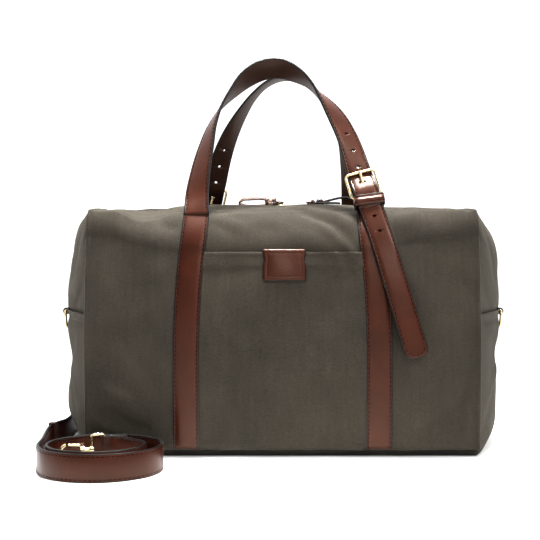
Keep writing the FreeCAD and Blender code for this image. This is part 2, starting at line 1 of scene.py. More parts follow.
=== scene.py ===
"""Looks of the canvas duffel bag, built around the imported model.

Shapes are worked out in millimetres in the row frame (+X right, -Y front, +Z up) and turned
into metres when a mesh is made.
"""

import math

import bmesh
import bpy
import numpy as np
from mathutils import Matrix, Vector


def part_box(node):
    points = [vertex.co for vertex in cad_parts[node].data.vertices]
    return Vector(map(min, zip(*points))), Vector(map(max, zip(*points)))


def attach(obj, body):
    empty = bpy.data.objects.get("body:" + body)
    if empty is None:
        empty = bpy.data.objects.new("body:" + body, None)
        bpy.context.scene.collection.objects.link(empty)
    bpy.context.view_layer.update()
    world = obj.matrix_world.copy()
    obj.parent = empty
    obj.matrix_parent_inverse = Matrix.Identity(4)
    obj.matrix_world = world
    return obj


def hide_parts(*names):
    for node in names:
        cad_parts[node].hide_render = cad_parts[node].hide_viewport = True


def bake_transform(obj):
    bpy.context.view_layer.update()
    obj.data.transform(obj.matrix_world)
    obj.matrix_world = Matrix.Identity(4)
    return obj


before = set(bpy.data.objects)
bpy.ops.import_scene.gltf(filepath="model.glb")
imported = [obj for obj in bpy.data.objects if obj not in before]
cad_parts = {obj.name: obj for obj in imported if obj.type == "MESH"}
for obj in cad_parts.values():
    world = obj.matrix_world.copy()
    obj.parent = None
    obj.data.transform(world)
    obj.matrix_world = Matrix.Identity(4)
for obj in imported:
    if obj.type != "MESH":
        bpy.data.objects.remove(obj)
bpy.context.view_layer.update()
MM = 0.001

# ------------------------------------------------------------------ sizes that repeat the design
SEAM_X = 232.0
END_DEPTH = {-1: 47.0, 1: 52.0}
RING_Z = 168.0
END_CENTRE = np.array([0.0, 148.0])
END_SEAM_Z = 170.0
ZIP_SLOT = 7.0
STRAP_BASE_X, STRAP_TOP_X = 114.0, 104.0
STRAP_WIDTH, STRAP_THICK = 31.0, 2.9
HANDLE_WIDTH, HANDLE_THICK = 30.0, 3.0
TAIL_WIDTH = HANDLE_WIDTH - 1
CANVAS_THICK = 1.8
POCKET_TOP_Z = 242.0
BAR = np.array([102.0, -90.5, 312.0])
FLEX_LEFT = np.array([-103.0, -98.0, 292.5])
TILT, LEAN = math.radians(14.5), math.radians(12.0)
ACROSS = np.array([math.cos(TILT), 0.0, math.sin(TILT)])
UP = np.array([-math.sin(TILT) * math.cos(LEAN), math.sin(LEAN), math.cos(TILT) * math.cos(LEAN)])
FORWARD = np.cross(ACROSS, UP)


# ------------------------------------------------------------------ small geometry helpers
def unit(v):
    """Rows scaled to length one."""
    v = np.asarray(v, float)
    return v / np.maximum(np.linalg.norm(v, axis=-1, keepdims=True), 1e-9)


def smooth(a, b, x):
    """0 below a, 1 above b, smooth between."""
    t = np.clip((np.asarray(x, float) - a) / (b - a), 0, 1)
    return t * t * (3 - 2 * t)


def arc_through(a, b, c, count):
    """Points of the circular arc through three 2D points."""
    a, b, c = (np.array(p, float) for p in (a, b, c))
    m = np.array([b - a, c - a]) * 2
    k = np.array([b @ b - a @ a, c @ c - a @ a])
    o = np.linalg.solve(m, k)
    r = np.linalg.norm(a - o)
    angles = [math.atan2(*(p - o)[::-1]) for p in (a, b, c)]
    for i in (1, 2):
        while angles[i] - angles[i - 1] > math.pi:
            angles[i] -= 2 * math.pi
        while angles[i] - angles[i - 1] < -math.pi:
            angles[i] += 2 * math.pi
    t = np.linspace(angles[0], angles[2], count)
    return np.stack([o[0] + r * np.cos(t), o[1] + r * np.sin(t)], 1)


def catmull(points, per=8):
    """Smooth curve through rows of numbers, chord-length Catmull-Rom."""
    p = np.asarray(points, float)
    d = np.linalg.norm(np.diff(p[:, :3], axis=0), axis=1)
    t = np.concatenate([[0], np.cumsum(np.maximum(d, 1e-6))])
    slope = np.gradient(p, t, axis=0)
    out = []
    for i in range(len(p) - 1):
        h = t[i + 1] - t[i]
        for k in range(per):
            u = k / per
            out.append((2 * u**3 - 3 * u**2 + 1) * p[i] + (u**3 - 2 * u**2 + u) * h * slope[i]
                       + (3 * u**2 - 2 * u**3) * p[i + 1] + (u**3 - u**2) * h * slope[i + 1])
    out.append(p[-1])
    return np.array(out)


def distances_along(p):
    """Distance of each point from the first, along the line of the first three columns."""
    return np.concatenate([[0], np.cumsum(np.linalg.norm(np.diff(p[:, :3], axis=0), axis=1))])


def resample(points, step):
    """Rows spaced evenly along the curve of their first three columns."""
    p = np.asarray(points, float)
    s = distances_along(p)
    n = max(2, int(round(s[-1] / step)) + 1)
    at = np.linspace(0, s[-1], n)
    return np.stack([np.interp(at, s, p[:, k]) for k in range(p.shape[1])], 1)


def half_turn(p):
    """Points turned half a turn about Z."""
    return np.asarray(p, float) * np.array([-1.0, -1.0, 1.0])


def piece(name, verts, faces, materials, face_slots=None, smooth_shade=True, closed=False):
    """New mesh object from millimetre vertices."""
    mesh = bpy.data.meshes.new(name)
    mesh.from_pydata([tuple(v) for v in np.asarray(verts, float) * MM], [], [tuple(f) for f in faces])
    for m in materials:
        mesh.materials.append(m)
    if face_slots is not None:
        mesh.polygons.foreach_set("material_index", list(face_slots))
    mesh.polygons.foreach_set("use_smooth", [smooth_shade] * len(mesh.polygons))
    if closed:
        work = bmesh.new()
        work.from_mesh(mesh)
        bmesh.ops.recalc_face_normals(work, faces=work.faces)
        work.to_mesh(mesh)
        work.free()
    mesh.update()
    o = bpy.data.objects.new(name, mesh)
    bpy.context.scene.collection.objects.link(o)
    return o


def grid_faces(rows, cols, offset=0, closed=False):
    """Quads of a grid of vertices stored row by row; closed joins the last column to the first."""
    out = []
    for i in range(rows - 1):
        for j in range(cols if closed else cols - 1):
            k = (j + 1) % cols
            a, b = offset + i * cols, offset + (i + 1) * cols
            out.append((a + j, a + k, b + k, b + j))
    return out


def apply_modifiers(o):
    """Bake the object's modifiers into its mesh."""
    bpy.context.view_layer.update()
    done = bpy.data.meshes.new_from_object(o.evaluated_get(bpy.context.evaluated_depsgraph_get()))
    o.modifiers.clear()
    o.data = done
    return o


def thicken(o, thickness):
    """Give a sheet a real thickness, inward of its normals."""
    mod = o.modifiers.new("thick", "SOLIDIFY")
    mod.thickness = thickness * MM
    mod.offset = -1
    return apply_modifiers(o)


def settle(o, body, slot, *nodes):
    """Put a piece on its body and hide the CAD nodes it stands for; slot is not used."""
    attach(o, body)
    if nodes:
        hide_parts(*nodes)


# ------------------------------------------------------------------ materials
def new_material(name, rough, metallic=0.0, sheen=0.0, coat=0.0):
    """Material with its node tree and its main shader."""
    m = bpy.data.materials.new(name)
    m.use_nodes = True
    bsdf = m.node_tree.nodes["Principled BSDF"]
    bsdf.inputs["Roughness"].default_value = rough
    bsdf.inputs["Metallic"].default_value = metallic
    bsdf.inputs["Sheen Weight"].default_value = sheen
    bsdf.inputs["Coat Weight"].default_value = coat
    return m, m.node_tree, bsdf


def node(tree, kind, **values):
    """New node; values go to inputs of that name, or else to settings."""
    n = tree.nodes.new(kind)
    for key, value in values.items():
        if key in n.inputs:
            n.inputs[key].default_value = value
        else:
            setattr(n, key, value)
    return n


def object_coords(tree, scale=(1, 1, 1)):
    """The piece's own coordinates, scaled for each axis."""
    coords = node(tree, "ShaderNodeTexCoord")
    mapping = node(tree, "ShaderNodeMapping")
    mapping.inputs["Scale"].default_value = scale
    tree.links.new(coords.outputs["Object"], mapping.inputs["Vector"])
    return mapping.outputs["Vector"]


def noise(tree, scale, detail=2.0, roughness=0.5, stretch=(1, 1, 1)):
    """Noise texture in the piece's own coordinates, stretched by a scale for each axis."""
    n = node(tree, "ShaderNodeTexNoise", Scale=scale, Detail=detail, Roughness=roughness)
    tree.links.new(object_coords(tree, stretch), n.inputs["Vector"])
    return n.outputs["Fac"]


def ramp(tree, source, stops):
    """Colour ramp over source with (position, colour) stops."""
    r = node(tree, "ShaderNodeValToRGB")
    elements = r.color_ramp.elements
    while len(elements) < len(stops):
        elements.new(0.5)
    for e, (position, colour) in zip(elements, stops):
        e.position = position
        e.color = (*colour, 1)
    tree.links.new(source, r.inputs["Fac"])
    return r.outputs["Color"]


def math_node(tree, operation, a, b=None):
    """Sum, product or the like of two numbers or node outputs."""
    n = node(tree, "ShaderNodeMath", operation=operation)
    for i, v in enumerate((a, b)):
        if isinstance(v, (int, float)):
            n.inputs[i].default_value = v
        elif v is not None:
            tree.links.new(v, n.inputs[i])
    return n.outputs[0]


def multiply_colour(tree, a, b, factor=1.0):
    mix = node(tree, "ShaderNodeMix", data_type="RGBA", blend_type="MULTIPLY")
    mix.inputs["Factor"].default_value = factor
    tree.links.new(a, mix.inputs["A"])
    tree.links.new(b, mix.inputs["B"])
    return mix.outputs["Result"]


def bump(tree, bsdf, height, strength, distance):
    b = node(tree, "ShaderNodeBump", Strength=strength, Distance=distance)
    tree.links.new(height, b.inputs["Height"])
    tree.links.new(b.outputs["Normal"], bsdf.inputs["Normal"])


def weave_height(tree, pitch):
    """Crossing threads: one set runs along X, the other up the cloth."""
    coords = node(tree, "ShaderNodeTexCoord")
    split = node(tree, "ShaderNodeSeparateXYZ")
    tree.links.new(coords.outputs["Object"], split.inputs[0])
    warp = math_node(tree, "ADD", split.outputs["X"], math_node(tree, "MULTIPLY", split.outputs["Y"], 0.73))
    weft = math_node(tree, "ADD", split.outputs["Z"], math_node(tree, "MULTIPLY", split.outputs["Y"], 0.91))
    k = 2 * math.pi / (pitch * MM)
    a = math_node(tree, "SINE", math_node(tree, "MULTIPLY", warp, k))
    b = math_node(tree, "SINE", math_node(tree, "MULTIPLY", weft, k))
    return math_node(tree, "MULTIPLY", a, b)


def canvas(name, colour, darker, pitch=1.1, rough=0.86):
    """Waxed cotton canvas: thread weave, slubs and slight cloudy wear."""
    m, tree, bsdf = new_material(name, rough, sheen=0.08)
    bsdf.inputs["Specular IOR Level"].default_value = 0.12
    bsdf.inputs["Sheen Roughness"].default_value = 0.5
    bsdf.inputs["Sheen Tint"].default_value = (0.8, 0.74, 0.62, 1)
    base = ramp(tree, noise(tree, 9.0, 5.0, 0.6), [(0.3, darker), (0.7, colour)])
    slub = noise(tree, 1.0, 3.0, 0.7, (320, 320, 900))
    fleck = ramp(tree, slub, [(0.3, (0.72, 0.72, 0.72)), (0.72, (1.24, 1.23, 1.20))])
    yarn = noise(tree, 1.0, 4.0, 0.75, (230, 60, 16))
    streak = ramp(tree, yarn, [(0.32, (0.90, 0.91, 0.91)), (0.68, (1.09, 1.09, 1.07))])
    woven = multiply_colour(tree, multiply_colour(tree, base, streak), fleck)
    tree.links.new(woven, bsdf.inputs["Base Color"])
    weave = weave_height(tree, pitch)
    fine = math_node(tree, "ADD", weave, math_node(tree, "MULTIPLY", slub, 2.2))
    bump(tree, bsdf, fine, 0.5, 0.0002)
    return m


def leather(name, dark, light, rough, grain=520.0, coat=0.25):
    """Finished bridle leather: mottled dye, fine pebbled grain and a soft gloss."""
    m, tree, bsdf = new_material(name, rough, coat=coat)
    bsdf.inputs["Coat Roughness"].default_value = 0.28
    bsdf.inputs["Specular IOR Level"].default_value = 0.34
    bsdf.inputs["Specular Tint"].default_value = (1.0, 0.74, 0.58, 1.0)
    bsdf.inputs["IOR"].default_value = 1.48
    base = ramp(tree, noise(tree, 26.0, 6.0, 0.62), [(0.28, dark), (0.72, light)])
    pores = node(tree, "ShaderNodeTexVoronoi", Scale=grain)
    tree.links.new(object_coords(tree), pores.inputs["Vector"])
    shade = ramp(tree, pores.outputs["Distance"], [(0.0, (0.72, 0.70, 0.68)), (0.5, (1.05, 1.05, 1.05))])
    tree.links.new(multiply_colour(tree, base, shade, 0.7), bsdf.inputs["Base Color"])
    wrinkle = math_node(tree, "MULTIPLY", noise(tree, grain * 0.35, 4.0), 0.8)
    height = math_node(tree, "ADD", pores.outputs["Distance"], wrinkle)
    bump(tree, bsdf, height, 0.35, 0.00025)
    return m


def paint_edge(name, colour, rough=0.38):
    """Burnished, painted leather edge with slight unevenness."""
    m, tree, bsdf = new_material(name, rough)
    bsdf.inputs["Specular IOR Level"].default_value = 0.2
    spread = noise(tree, 140.0, 3.0)
    lighter = tuple(c * 1.8 for c in colour)
    tree.links.new(ramp(tree, spread, [(0.35, colour), (0.8, lighter)]), bsdf.inputs["Base Color"])
    bump(tree, bsdf, spread, 0.25, 0.0004)
    return m


def metal(name, dark, light, rough):
    """Lightly handled cast metal."""
    m, tree, bsdf = new_material(name, rough, metallic=1.0)
    patina = ramp(tree, noise(tree, 90.0, 5.0), [(0.3, dark), (0.65, light)])
    tree.links.new(patina, bsdf.inputs["Base Color"])
    bump(tree, bsdf, noise(tree, 1.0, stretch=(400, 400, 60)), 0.04, 0.00005)
    return m


def thread(name, colour):
    """Twisted waxed sewing thread."""
    m, tree, bsdf = new_material(name, 0.7)
    bsdf.inputs["Specular IOR Level"].default_value = 0.08
    twist = node(tree, "ShaderNodeTexWave", Scale=900.0, Distortion=1.0)
    tree.links.new(object_coords(tree), twist.inputs["Vector"])
    low = tuple(c * 0.6 for c in colour)
    tree.links.new(ramp(tree, twist.outputs["Fac"], [(0.2, low), (0.8, colour)]), bsdf.inputs["Base Color"])
    bump(tree, bsdf, twist.outputs["Fac"], 0.3, 0.0001)
    return m


CANVAS = canvas("canvas_olive", (0.043, 0.0365, 0.0285), (0.031, 0.0265, 0.0208))
# bottom panel cloth: the same canvas made about three times darker, a painted shade for the downward-facing
# base
CANVAS_BASE_PAINTED_SHADE = canvas("canvas_base_painted_shade", (0.013, 0.0115, 0.0095), (0.010, 0.009, 0.0075))
LINING = canvas("lining_cotton", (0.30, 0.25, 0.18), (0.25, 0.20, 0.15), pitch=0.8)
TAPE = canvas("zip_tape_weave", (0.030, 0.024, 0.019), (0.022, 0.018, 0.014), pitch=0.7, rough=0.8)
LEATHER = leather("leather_face", (0.021, 0.0038, 0.0015), (0.042, 0.0086, 0.0037), 0.34, coat=0.07)
# back (flesh) side of the straps: its own rougher leather, darkened further as painted shade where the loop's
# underside shows
LEATHER_BACK_AND_SHADE = leather("leather_back_and_painted_shade", (0.011, 0.0032, 0.0020), (0.021, 0.0066, 0.0042), 0.50,
                       grain=300.0, coat=0.1)
EDGE = paint_edge("leather_edge_black", (0.006, 0.0055, 0.005))
BRASS = metal("brass_pale", (0.58, 0.45, 0.25), (0.78, 0.65, 0.42), 0.27)
ZIP_BRASS = metal("brass_zip", (0.30, 0.22, 0.12), (0.52, 0.40, 0.22), 0.36)
THREAD_DARK = thread("thread_red_brown", (0.016, 0.0035, 0.003))
THREAD_CANVAS = thread("thread_olive", (0.17, 0.15, 0.115))


def repaint(names, material):
    """New finish on carried-over CAD pieces."""
    for name in names:
        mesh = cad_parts[name].data
        mesh.materials.clear()
        mesh.materials.append(material)


# ------------------------------------------------------------------ the bag's cross-section
SECTION_COUNTS = (12, 90, 30, 34)


def section(corners, counts=SECTION_COUNTS):
    """Front half of the cross-section as points of (y, z), from the base up to the zip."""
    rows = []
    for (a, b, c), count in zip(corners, counts):
        rows.append(arc_through(a, b, c, count + 1)[:-1])
    rows.append(np.array([corners[-1][2]], float))
    return np.concatenate(rows)


BASE_ARC = ((-98, 0), (-107.5, 4.5), (-111, 17))
SOFT_SECTION = section([
    BASE_ARC,
    ((-111, 17), (-118, 135), (-113, 243)),
    ((-113, 243), (-100.5, 277.5), (-70, 291)),
    ((-70, 291), (-37, 301), (-ZIP_SLOT, 304)),
])
BOX_SECTION = section([
    BASE_ARC,
    ((-111, 17), (-116.5, 135), (-107, 262)),
    ((-107, 262), (-105, 283), (-98, 291.5)),
    ((-98, 291.5), (-50, 297), (-ZIP_SLOT, 299)),
])
# the front's top edge has folded down into a sharp dip to the left of the handle
DIP_SECTION = section([
    BASE_ARC,
    ((-111, 17), (-117, 135), (-112, 250)),
    ((-112, 250), (-109, 268), (-101, 278)),
    ((-101, 278), (-60, 289), (-ZIP_SLOT, 299)),
])
RIDGE_SECTION = section([
    BASE_ARC,
    ((-111, 17), (-117.5, 135), (-110, 255)),
    ((-110, 255), (-104, 281), (-86, 293)),
    ((-86, 293), (-45, 299), (-ZIP_SLOT, 302)),
])
# which section the canvas has at which x, in front (-1) and at the back (+1)
STATIONS = {
    -1: [(-240, BOX_SECTION), (-208, BOX_SECTION), (-165, DIP_SECTION), (-130, SOFT_SECTION),
         (105, SOFT_SECTION), (165, RIDGE_SECTION), (225, BOX_SECTION), (240, BOX_SECTION)],
    1: [(-240, BOX_SECTION), (-222, BOX_SECTION), (-165, RIDGE_SECTION), (-110, SOFT_SECTION),
        (120, SOFT_SECTION), (160, DIP_SECTION), (205, BOX_SECTION), (240, BOX_SECTION)],
}
T_MAX = len(SOFT_SECTION) - 1


def base_point(x, t, side=-1):
    """Undisturbed canvas surface at x and section parameter t; side is -1 in front, +1 at the back."""
    x, t = np.broadcast_arrays(np.asarray(x, float), np.asarray(t, float))
    k = np.arange(T_MAX + 1)
    stations = STATIONS[side]
    y, z = np.zeros(x.shape), np.zeros(x.shape)
    for (x0, first), (x1, second) in zip(stations, stations[1:]):
        inside = (x >= x0) & ((x < x1) | (x1 == stations[-1][0]))
        share = smooth(x0, x1, x)
        y_here = np.interp(t, k, first[:, 0]) * (1 - share) + np.interp(t, k, second[:, 0]) * share
        z_here = np.interp(t, k, first[:, 1]) * (1 - share) + np.interp(t, k, second[:, 1]) * share
        y, z = np.where(inside, y_here, y), np.where(inside, z_here, z)
    return np.stack([x, y * -side, z], -1)


def base_normal(x, t, side=-1):
    """Outward unit normal of the undisturbed surface."""
    x, t = np.broadcast_arrays(np.asarray(x, float), np.asarray(t, float))
    dx = base_point(x + 1.0, t, side) - base_point(x - 1.0, t, side)
    dt = base_point(x, np.minimum(t + 1.0, T_MAX), side) - base_point(x, np.maximum(t - 1.0, 0), side)
    n = unit(np.cross(dx, dt))
    return n * (-side)


def strap_x(z):
    """Distance of a sewn strap's middle from the bag's middle, at height z."""
    return STRAP_BASE_X - (STRAP_BASE_X - STRAP_TOP_X) * np.clip((z - 8) / 259, 0, 1.04) ** 4


def t_at_height(z, x=0.0):
    """Section parameter where the front face reaches height z."""
    k = np.arange(0, T_MAX + 1)
    zs = base_point(x, k)[:, 2]
    return float(np.interp(z, zs, k))


def segment_distance(p, a, b):
    """Distance of points from the segment a-b, and how far along it (0 to 1) the nearest spot is."""
    a, b = np.array(a, float), np.array(b, float)
    d = b - a
    s = np.clip(((p - a) @ d) / (d @ d), 0, 1)
    return np.linalg.norm(p - (a + s[..., None] * d), axis=-1), s


def waves(p, scale, seed):
    """Slow, cheap smooth noise from a few sine waves."""
    rng = np.random.default_rng(seed)
    total = np.zeros(p.shape[:-1])
    for _ in range(7):
        direction = unit(rng.normal(size=3)) / scale * rng.uniform(0.7, 1.5)
        total += np.sin(p @ direction * 2 * math.pi + rng.uniform(0, 6.28))
    return total / 4.0


# soft folds and dents: end points, half width, height (negative is a dent)
FRONT_FOLDS = [
    ((-205, -104, 286), (-168, -102, 270), 10, -2.0),
    ((-150, -100, 288), (-124, -106, 262), 12, -5.0),
    ((-152, -112, 258), (-122, -113, 226), 16, -3.6),
    ((-176, -106, 276), (-140, -112, 240), 10, 2.6),
    ((-84, -96, 284), (-40, -104, 268), 9, 2.6),
    ((-196, -112, 248), (-176, -114, 190), 20, -2.0),
    ((20, -60, 295), (82, -102, 275), 8, 6.0),
    ((30, -82, 286), (86, -108, 254), 9, -8.5),
    ((44, -100, 276), (88, -112, 236), 7, 5.0),
    ((62, -104, 262), (88, -114, 214), 7, -3.4),
    ((-20, -96, 278), (70, -112, 240), 10, 2.4),
    ((-84, -100, 280), (-60, -108, 262), 8, -2.2),
    ((-70, -98, 274), (30, -104, 266), 11, -1.6),
    ((128, -100, 276), (168, -96, 288), 12, 2.0),
    ((126, -110, 262), (176, -108, 262), 14, -2.0),
    ((150, -112, 240), (205, -112, 200), 22, -1.6),
    ((-222, -110, 62), (-158, -114, 30), 8, -3.4),
    ((-226, -110, 44), (-168, -112, 18), 6, 2.6),
    ((-222, -110, 88), (-180, -114, 66), 8, 2.0),
    ((224, -110, 140), (206, -114, 40), 9, -3.0),
    ((229, -110, 120), (217, -112, 26), 5, 2.6),
    ((226, -110, 90), (208, -112, 66), 6, -2.0),
    ((196, -114, 56), (150, -113, 26), 11, -2.0),
    ((-60, -116, 130), (-78, -112, 30), 12, -1.4),
    ((60, -116, 120), (80, -112, 30), 12, -1.4),
]
BACK_FOLDS = [
    ((-196, 100, 286), (-150, 104, 268), 14, -3.5),
    ((-140, 108, 262), (-128, 112, 226), 12, -3.0),
    ((150, 98, 276), (130, 105, 258), 14, -4.5),
    ((20, 85, 286), (-70, 104, 264), 9, 2.4),
    ((-50, 112, 250), (-84, 114, 200), 11, -2.5),
    ((218, 110, 120), (204, 112, 40), 9, -2.6),
    ((-222, 110, 150), (-206, 113, 50), 9, -2.4),
    ((-30, 117, 190), (40, 116, 60), 18, -1.8),
]


def field(p, side):
    """How far the canvas stands off its undisturbed surface."""
    x, z = p[..., 0], p[..., 2]
    d = 1.3 * waves(p, 95.0, 3) + 0.5 * waves(p, 38.0, 5)
    for a, b, width, height in (FRONT_FOLDS if side < 0 else BACK_FOLDS):
        distance, s = segment_distance(p, a, b)
        fade = np.sin(math.pi * np.clip(0.12 + 0.76 * s, 0, 1))
        d += height * np.exp(-(distance / width) ** 2) * fade
    # the top fills up near the zip's middle
    top = smooth(268, 296, z)
    d += top * 2.0 * np.exp(-((x - 15) / 95.0) ** 2)
    # sewn leather holds the canvas flat
    beside = np.maximum(np.abs(np.abs(x) - strap_x(z)) - 15, 0)
    held = np.exp(-(beside / 9.0) ** 2) * (1 - smooth(255, 285, z))
    d *= 1 - 0.95 * held
    seam = smooth(SEAM_X - 26, SEAM_X - 2, np.abs(x))
    pull = 1 - 0.75 * seam
    # puckers that run in from the end seams
    pucker = np.sin(z / 9.5 + 3.1 * np.sin(z / 41.0)) * np.exp(-(SEAM_X - np.abs(x)) / 16.0)
    return d * pull + 0.55 * pucker - 1.2 * np.exp(-((np.abs(x) - (SEAM_X - 8)) / 7.0) ** 2)


def canvas_point(x, t, side=-1, lift=0.0):
    """Finished canvas surface, lifted off it by lift."""
    p = base_point(x, t, side)
    n = base_normal(x, t, side)
    return p + n * (field(p, side) + lift)[..., None]


def canvas_sheet(name, points, node_name, flip=False, thickness=CANVAS_THICK, material=None):
    """A grid of points as cloth of real thickness on the bag, in place of a CAD node."""
    faces = grid_faces(*points.shape[:2])
    if flip:
        faces = [f[::-1] for f in faces]
    o = piece(name, points.reshape(-1, 3), faces, [material or CANVAS])
    thicken(o, thickness)
    settle(o, "bag", "canvas", node_name)


def build_wall(name, side, node_name):
    """Front or back panel: from the bottom seam up over the top to the zip."""
    # the columns stand closer together next to the end seams
    close = SEAM_X - np.array([0.0, 0.8, 1.7, 2.8, 4.2, 6.0])
    between = np.linspace(-SEAM_X + 8.5, SEAM_X - 8.5, 200)
    xs = np.concatenate([[-SEAM_X - 0.9], -close, between, close[::-1], [SEAM_X + 0.9]])
    t0 = t_at_height(10.5)
    ts = np.concatenate([[t0 - 0.1], np.linspace(t0, T_MAX, 170), [T_MAX, T_MAX]])
    lift = np.zeros((len(xs), len(ts)))
    # a raised rim along the end seams and the bottom seam, whose outermost rows turn in
    edge = np.exp(-((SEAM_X - np.abs(xs)) / 2.6) ** 4)[:, None] * 1.2
    lift += edge + 0.7 * np.exp(-((np.arange(len(ts)) - 1) / 1.6) ** 2)[None, :]
    lift[0, :] = lift[-1, :] = -1.6
    lift[:, 0] = -2.4
    # a turned and stitched edge along the zip: raised rim, then down to the tape
    lift[:, -6:-2] += 0.8
    lift[:, -2] = lift[:, -3] - 1.6
    lift[:, -1] = lift[:, -3] - 3.2
    points = canvas_point(xs[:, None], ts[None, :], side, lift)
    canvas_sheet(name, points, node_name, flip=side > 0)


build_wall("canvas_front", -1, "front_panel")
build_wall("canvas_back", 1, "back_panel")


# ------------------------------------------------------------------ bulging ends
def ring_outline():
    """The whole end outline as closed dense (y, z) points, starting at the front of the base."""
    rear = BOX_SECTION[::-1] * np.array([-1, 1])
    base = np.stack([np.linspace(98, -98, 60), np.zeros(60)], 1)[1:]
    return np.concatenate([BOX_SECTION, rear, base])


OUTLINE = ring_outline()
RIM_GAP = 1.6


def rim_radius(angle, centre):
    """Distance from centre to the end's outline in a direction given by its angle."""
    a = np.unwrap(np.arctan2(OUTLINE[:, 1] - centre[1], OUTLINE[:, 0] - centre[0]))
    r = np.hypot(OUTLINE[:, 0] - centre[0], OUTLINE[:, 1] - centre[1])
    order = np.argsort(a)
    return np.interp(angle, a[order], r[order], period=2 * math.pi)


# how far each end stands out along its middle: a full depth, a waist under the level seam,
# a lower half that may be less full, a lean above the widest height, and round-offs at top and base
END_FORM = {
    -1: {"full": 50.0, "waist": 6.5, "waist_z": 103.0, "waist_width": 28.0, "lower_less": 0.0,
         "base": 32.0, "base_z": 53.0, "lean": 0.14, "lean_z": 190.0, "top": 13.0, "top_z": 276.0},
    1: {"full": 56.0, "waist": 3.0, "waist_z": 116.0, "waist_width": 15.0, "lower_less": 4.5,
        "base": -5.0, "base_z": 48.0, "lean": 0.03, "lean_z": 190.0, "top": 30.0, "top_z": 228.0},
}


def end_fullness(z, side):
    """How far the middle of an end stands out at height z."""
    form = END_FORM[side]
    depth = form["full"] - form["lower_less"] / (1 + np.exp((z - 130.0) / 8.0))
    depth = depth - form["waist"] * np.exp(-((z - form["waist_z"]) / form["waist_width"]) ** 2)
    depth = depth - form["base"] * np.clip(1 - z / form["base_z"], 0, 1) ** 2
    depth = depth - form["lean"] * np.maximum(z - form["lean_z"], 0)
    return depth - form["top"] * np.clip((z - form["top_z"]) / (300.0 - form["top_z"]), 0, 1.2) ** 2.2


END_CREASES = [
    ((-60, 214), (-98, 280), 9, -2.5), ((60, 214), (98, 278), 9, -2.5),
    ((-104, 150), (-40, 118), 9, -3.0), ((104, 146), (40, 116), 9, -3.0),
    ((-102, 60), (-40, 96), 9, 2.0), ((100, 66), (36, 92), 9, 2.0),
    ((-100, 34), (-60, 74), 8, -2.5), ((98, 30), (58, 72), 8, -2.5),
    ((-104, 200), (-84, 176), 7, -2.0), ((104, 204), (86, 178), 7, -2.0),
]


def end_depth(y, z, side):
    """How far the end stands out from its seam at (y, z), with its folds."""
    angle = np.arctan2(z - END_CENTRE[1], y)
    s = np.hypot(y, z - END_CENTRE[1]) / (rim_radius(angle, END_CENTRE) - RIM_GAP)
    middle = end_fullness(z, side)
    # tent-like in plan: deepest in the middle, falling almost straight to the seams
    plan = 1 - np.minimum(np.sqrt(y ** 2 + 64.0) / 118.0, 1) ** 1.45
    dome = np.sqrt(np.maximum(1 - np.minimum(s, 1) ** 12, 0))
    depth = middle * plan * dome
    p = np.stack([y * 1.0, z * 1.0, np.zeros_like(y)], -1)
    depth += (1.2 * waves(p, 96.0, 11 + side) + 0.6 * waves(p, 40.0, 17 + side)) * dome ** 2 * plan ** 0.5
    for first, last, width, height in END_CREASES:
        distance, _ = segment_distance(p, (*first, 0), (*last, 0))
        depth += height * np.exp(-(distance / width) ** 2) * dome * plan ** 0.5
    # the ring tab is sewn down flat, and its ring lies against the canvas
    near = 1 / (1 + np.exp((np.abs(y) - 21) / 3.0)) / (1 + np.exp((np.abs(z - RING_Z) - 26) / 4.0))
    return depth - np.maximum(depth - END_DEPTH[side] - 0.4, 0) * near


def build_end(name, side, upper, node_name):
    """One of the two panels of an end; they meet at a level seam, the lower one overlapping."""
    rays, rings = 181, 46   # columns round the middle, rows out to the rim
    centre = np.array([0.0, END_SEAM_Z])
    angle = np.linspace(0, math.pi, rays) * (1 if upper else -1)
    r = 1 - (1 - np.linspace(0, 1, rings)) ** 2.0
    radius = rim_radius(angle, centre)[None, :] - RIM_GAP
    y = r[:, None] * radius * np.cos(angle)
    z = END_SEAM_Z + r[:, None] * radius * np.sin(angle)
    depth = end_depth(y, z, side)
    gap = np.abs(z - END_SEAM_Z)
    if upper:
        depth -= 2.8 * np.exp(-(gap / 4.5) ** 2)
    else:
        depth += 1.4 * np.exp(-(gap / 3.0) ** 2) - 1.6 * np.exp(-((gap - 10) / 5.0) ** 2)
        # the folded edge arches a little over the seam
        z = z + 2.0 * (1 - (y / 118.0) ** 2) * np.exp(-gap / 20.0)
    points = np.stack([side * (SEAM_X - 0.6 + depth), y, z], -1)
    if not upper:
        # the seam allowance of the lower panel turns in behind its folded edge
        points[:, 0, 2] -= 0.2
        points[:, -1, 2] -= 0.2
    canvas_sheet(name, points, node_name, flip=(side > 0) != upper)


for side, word in ((-1, "left"), (1, "right")):
    build_end(f"canvas_{word}_end_upper", side, True, f"{word}_end_upper")
    build_end(f"canvas_{word}_end_lower", side, False, f"{word}_end_lower")


def build_base():
    """Bottom panel: flat, turned up a little at the front and back under the side panels."""
    xs = np.linspace(-SEAM_X, SEAM_X, 60)
    rise = base_point(0, np.linspace(t_at_height(11.5), 0, 14))[:, 1:]
    flat = np.stack([np.linspace(-95, 95, 20), np.zeros(20)], 1)
    inward = np.array([1.3, 0.0])
    rows = np.concatenate([rise + inward, flat, rise[::-1] * np.array([-1, 1]) - inward])
    shape = (len(xs), len(rows))
    points = np.stack([np.broadcast_to(xs[:, None], shape), np.broadcast_to(rows[:, 0], shape),
                       np.broadcast_to(np.maximum(rows[:, 1], 0.0), shape)], -1)
    # the base is drawn in the darkened canvas copy, whose colour is painted shade
    canvas_sheet("canvas_base_painted_shade", points, "bottom_panel", True, 1.5, CANVAS_BASE_PAINTED_SHADE)


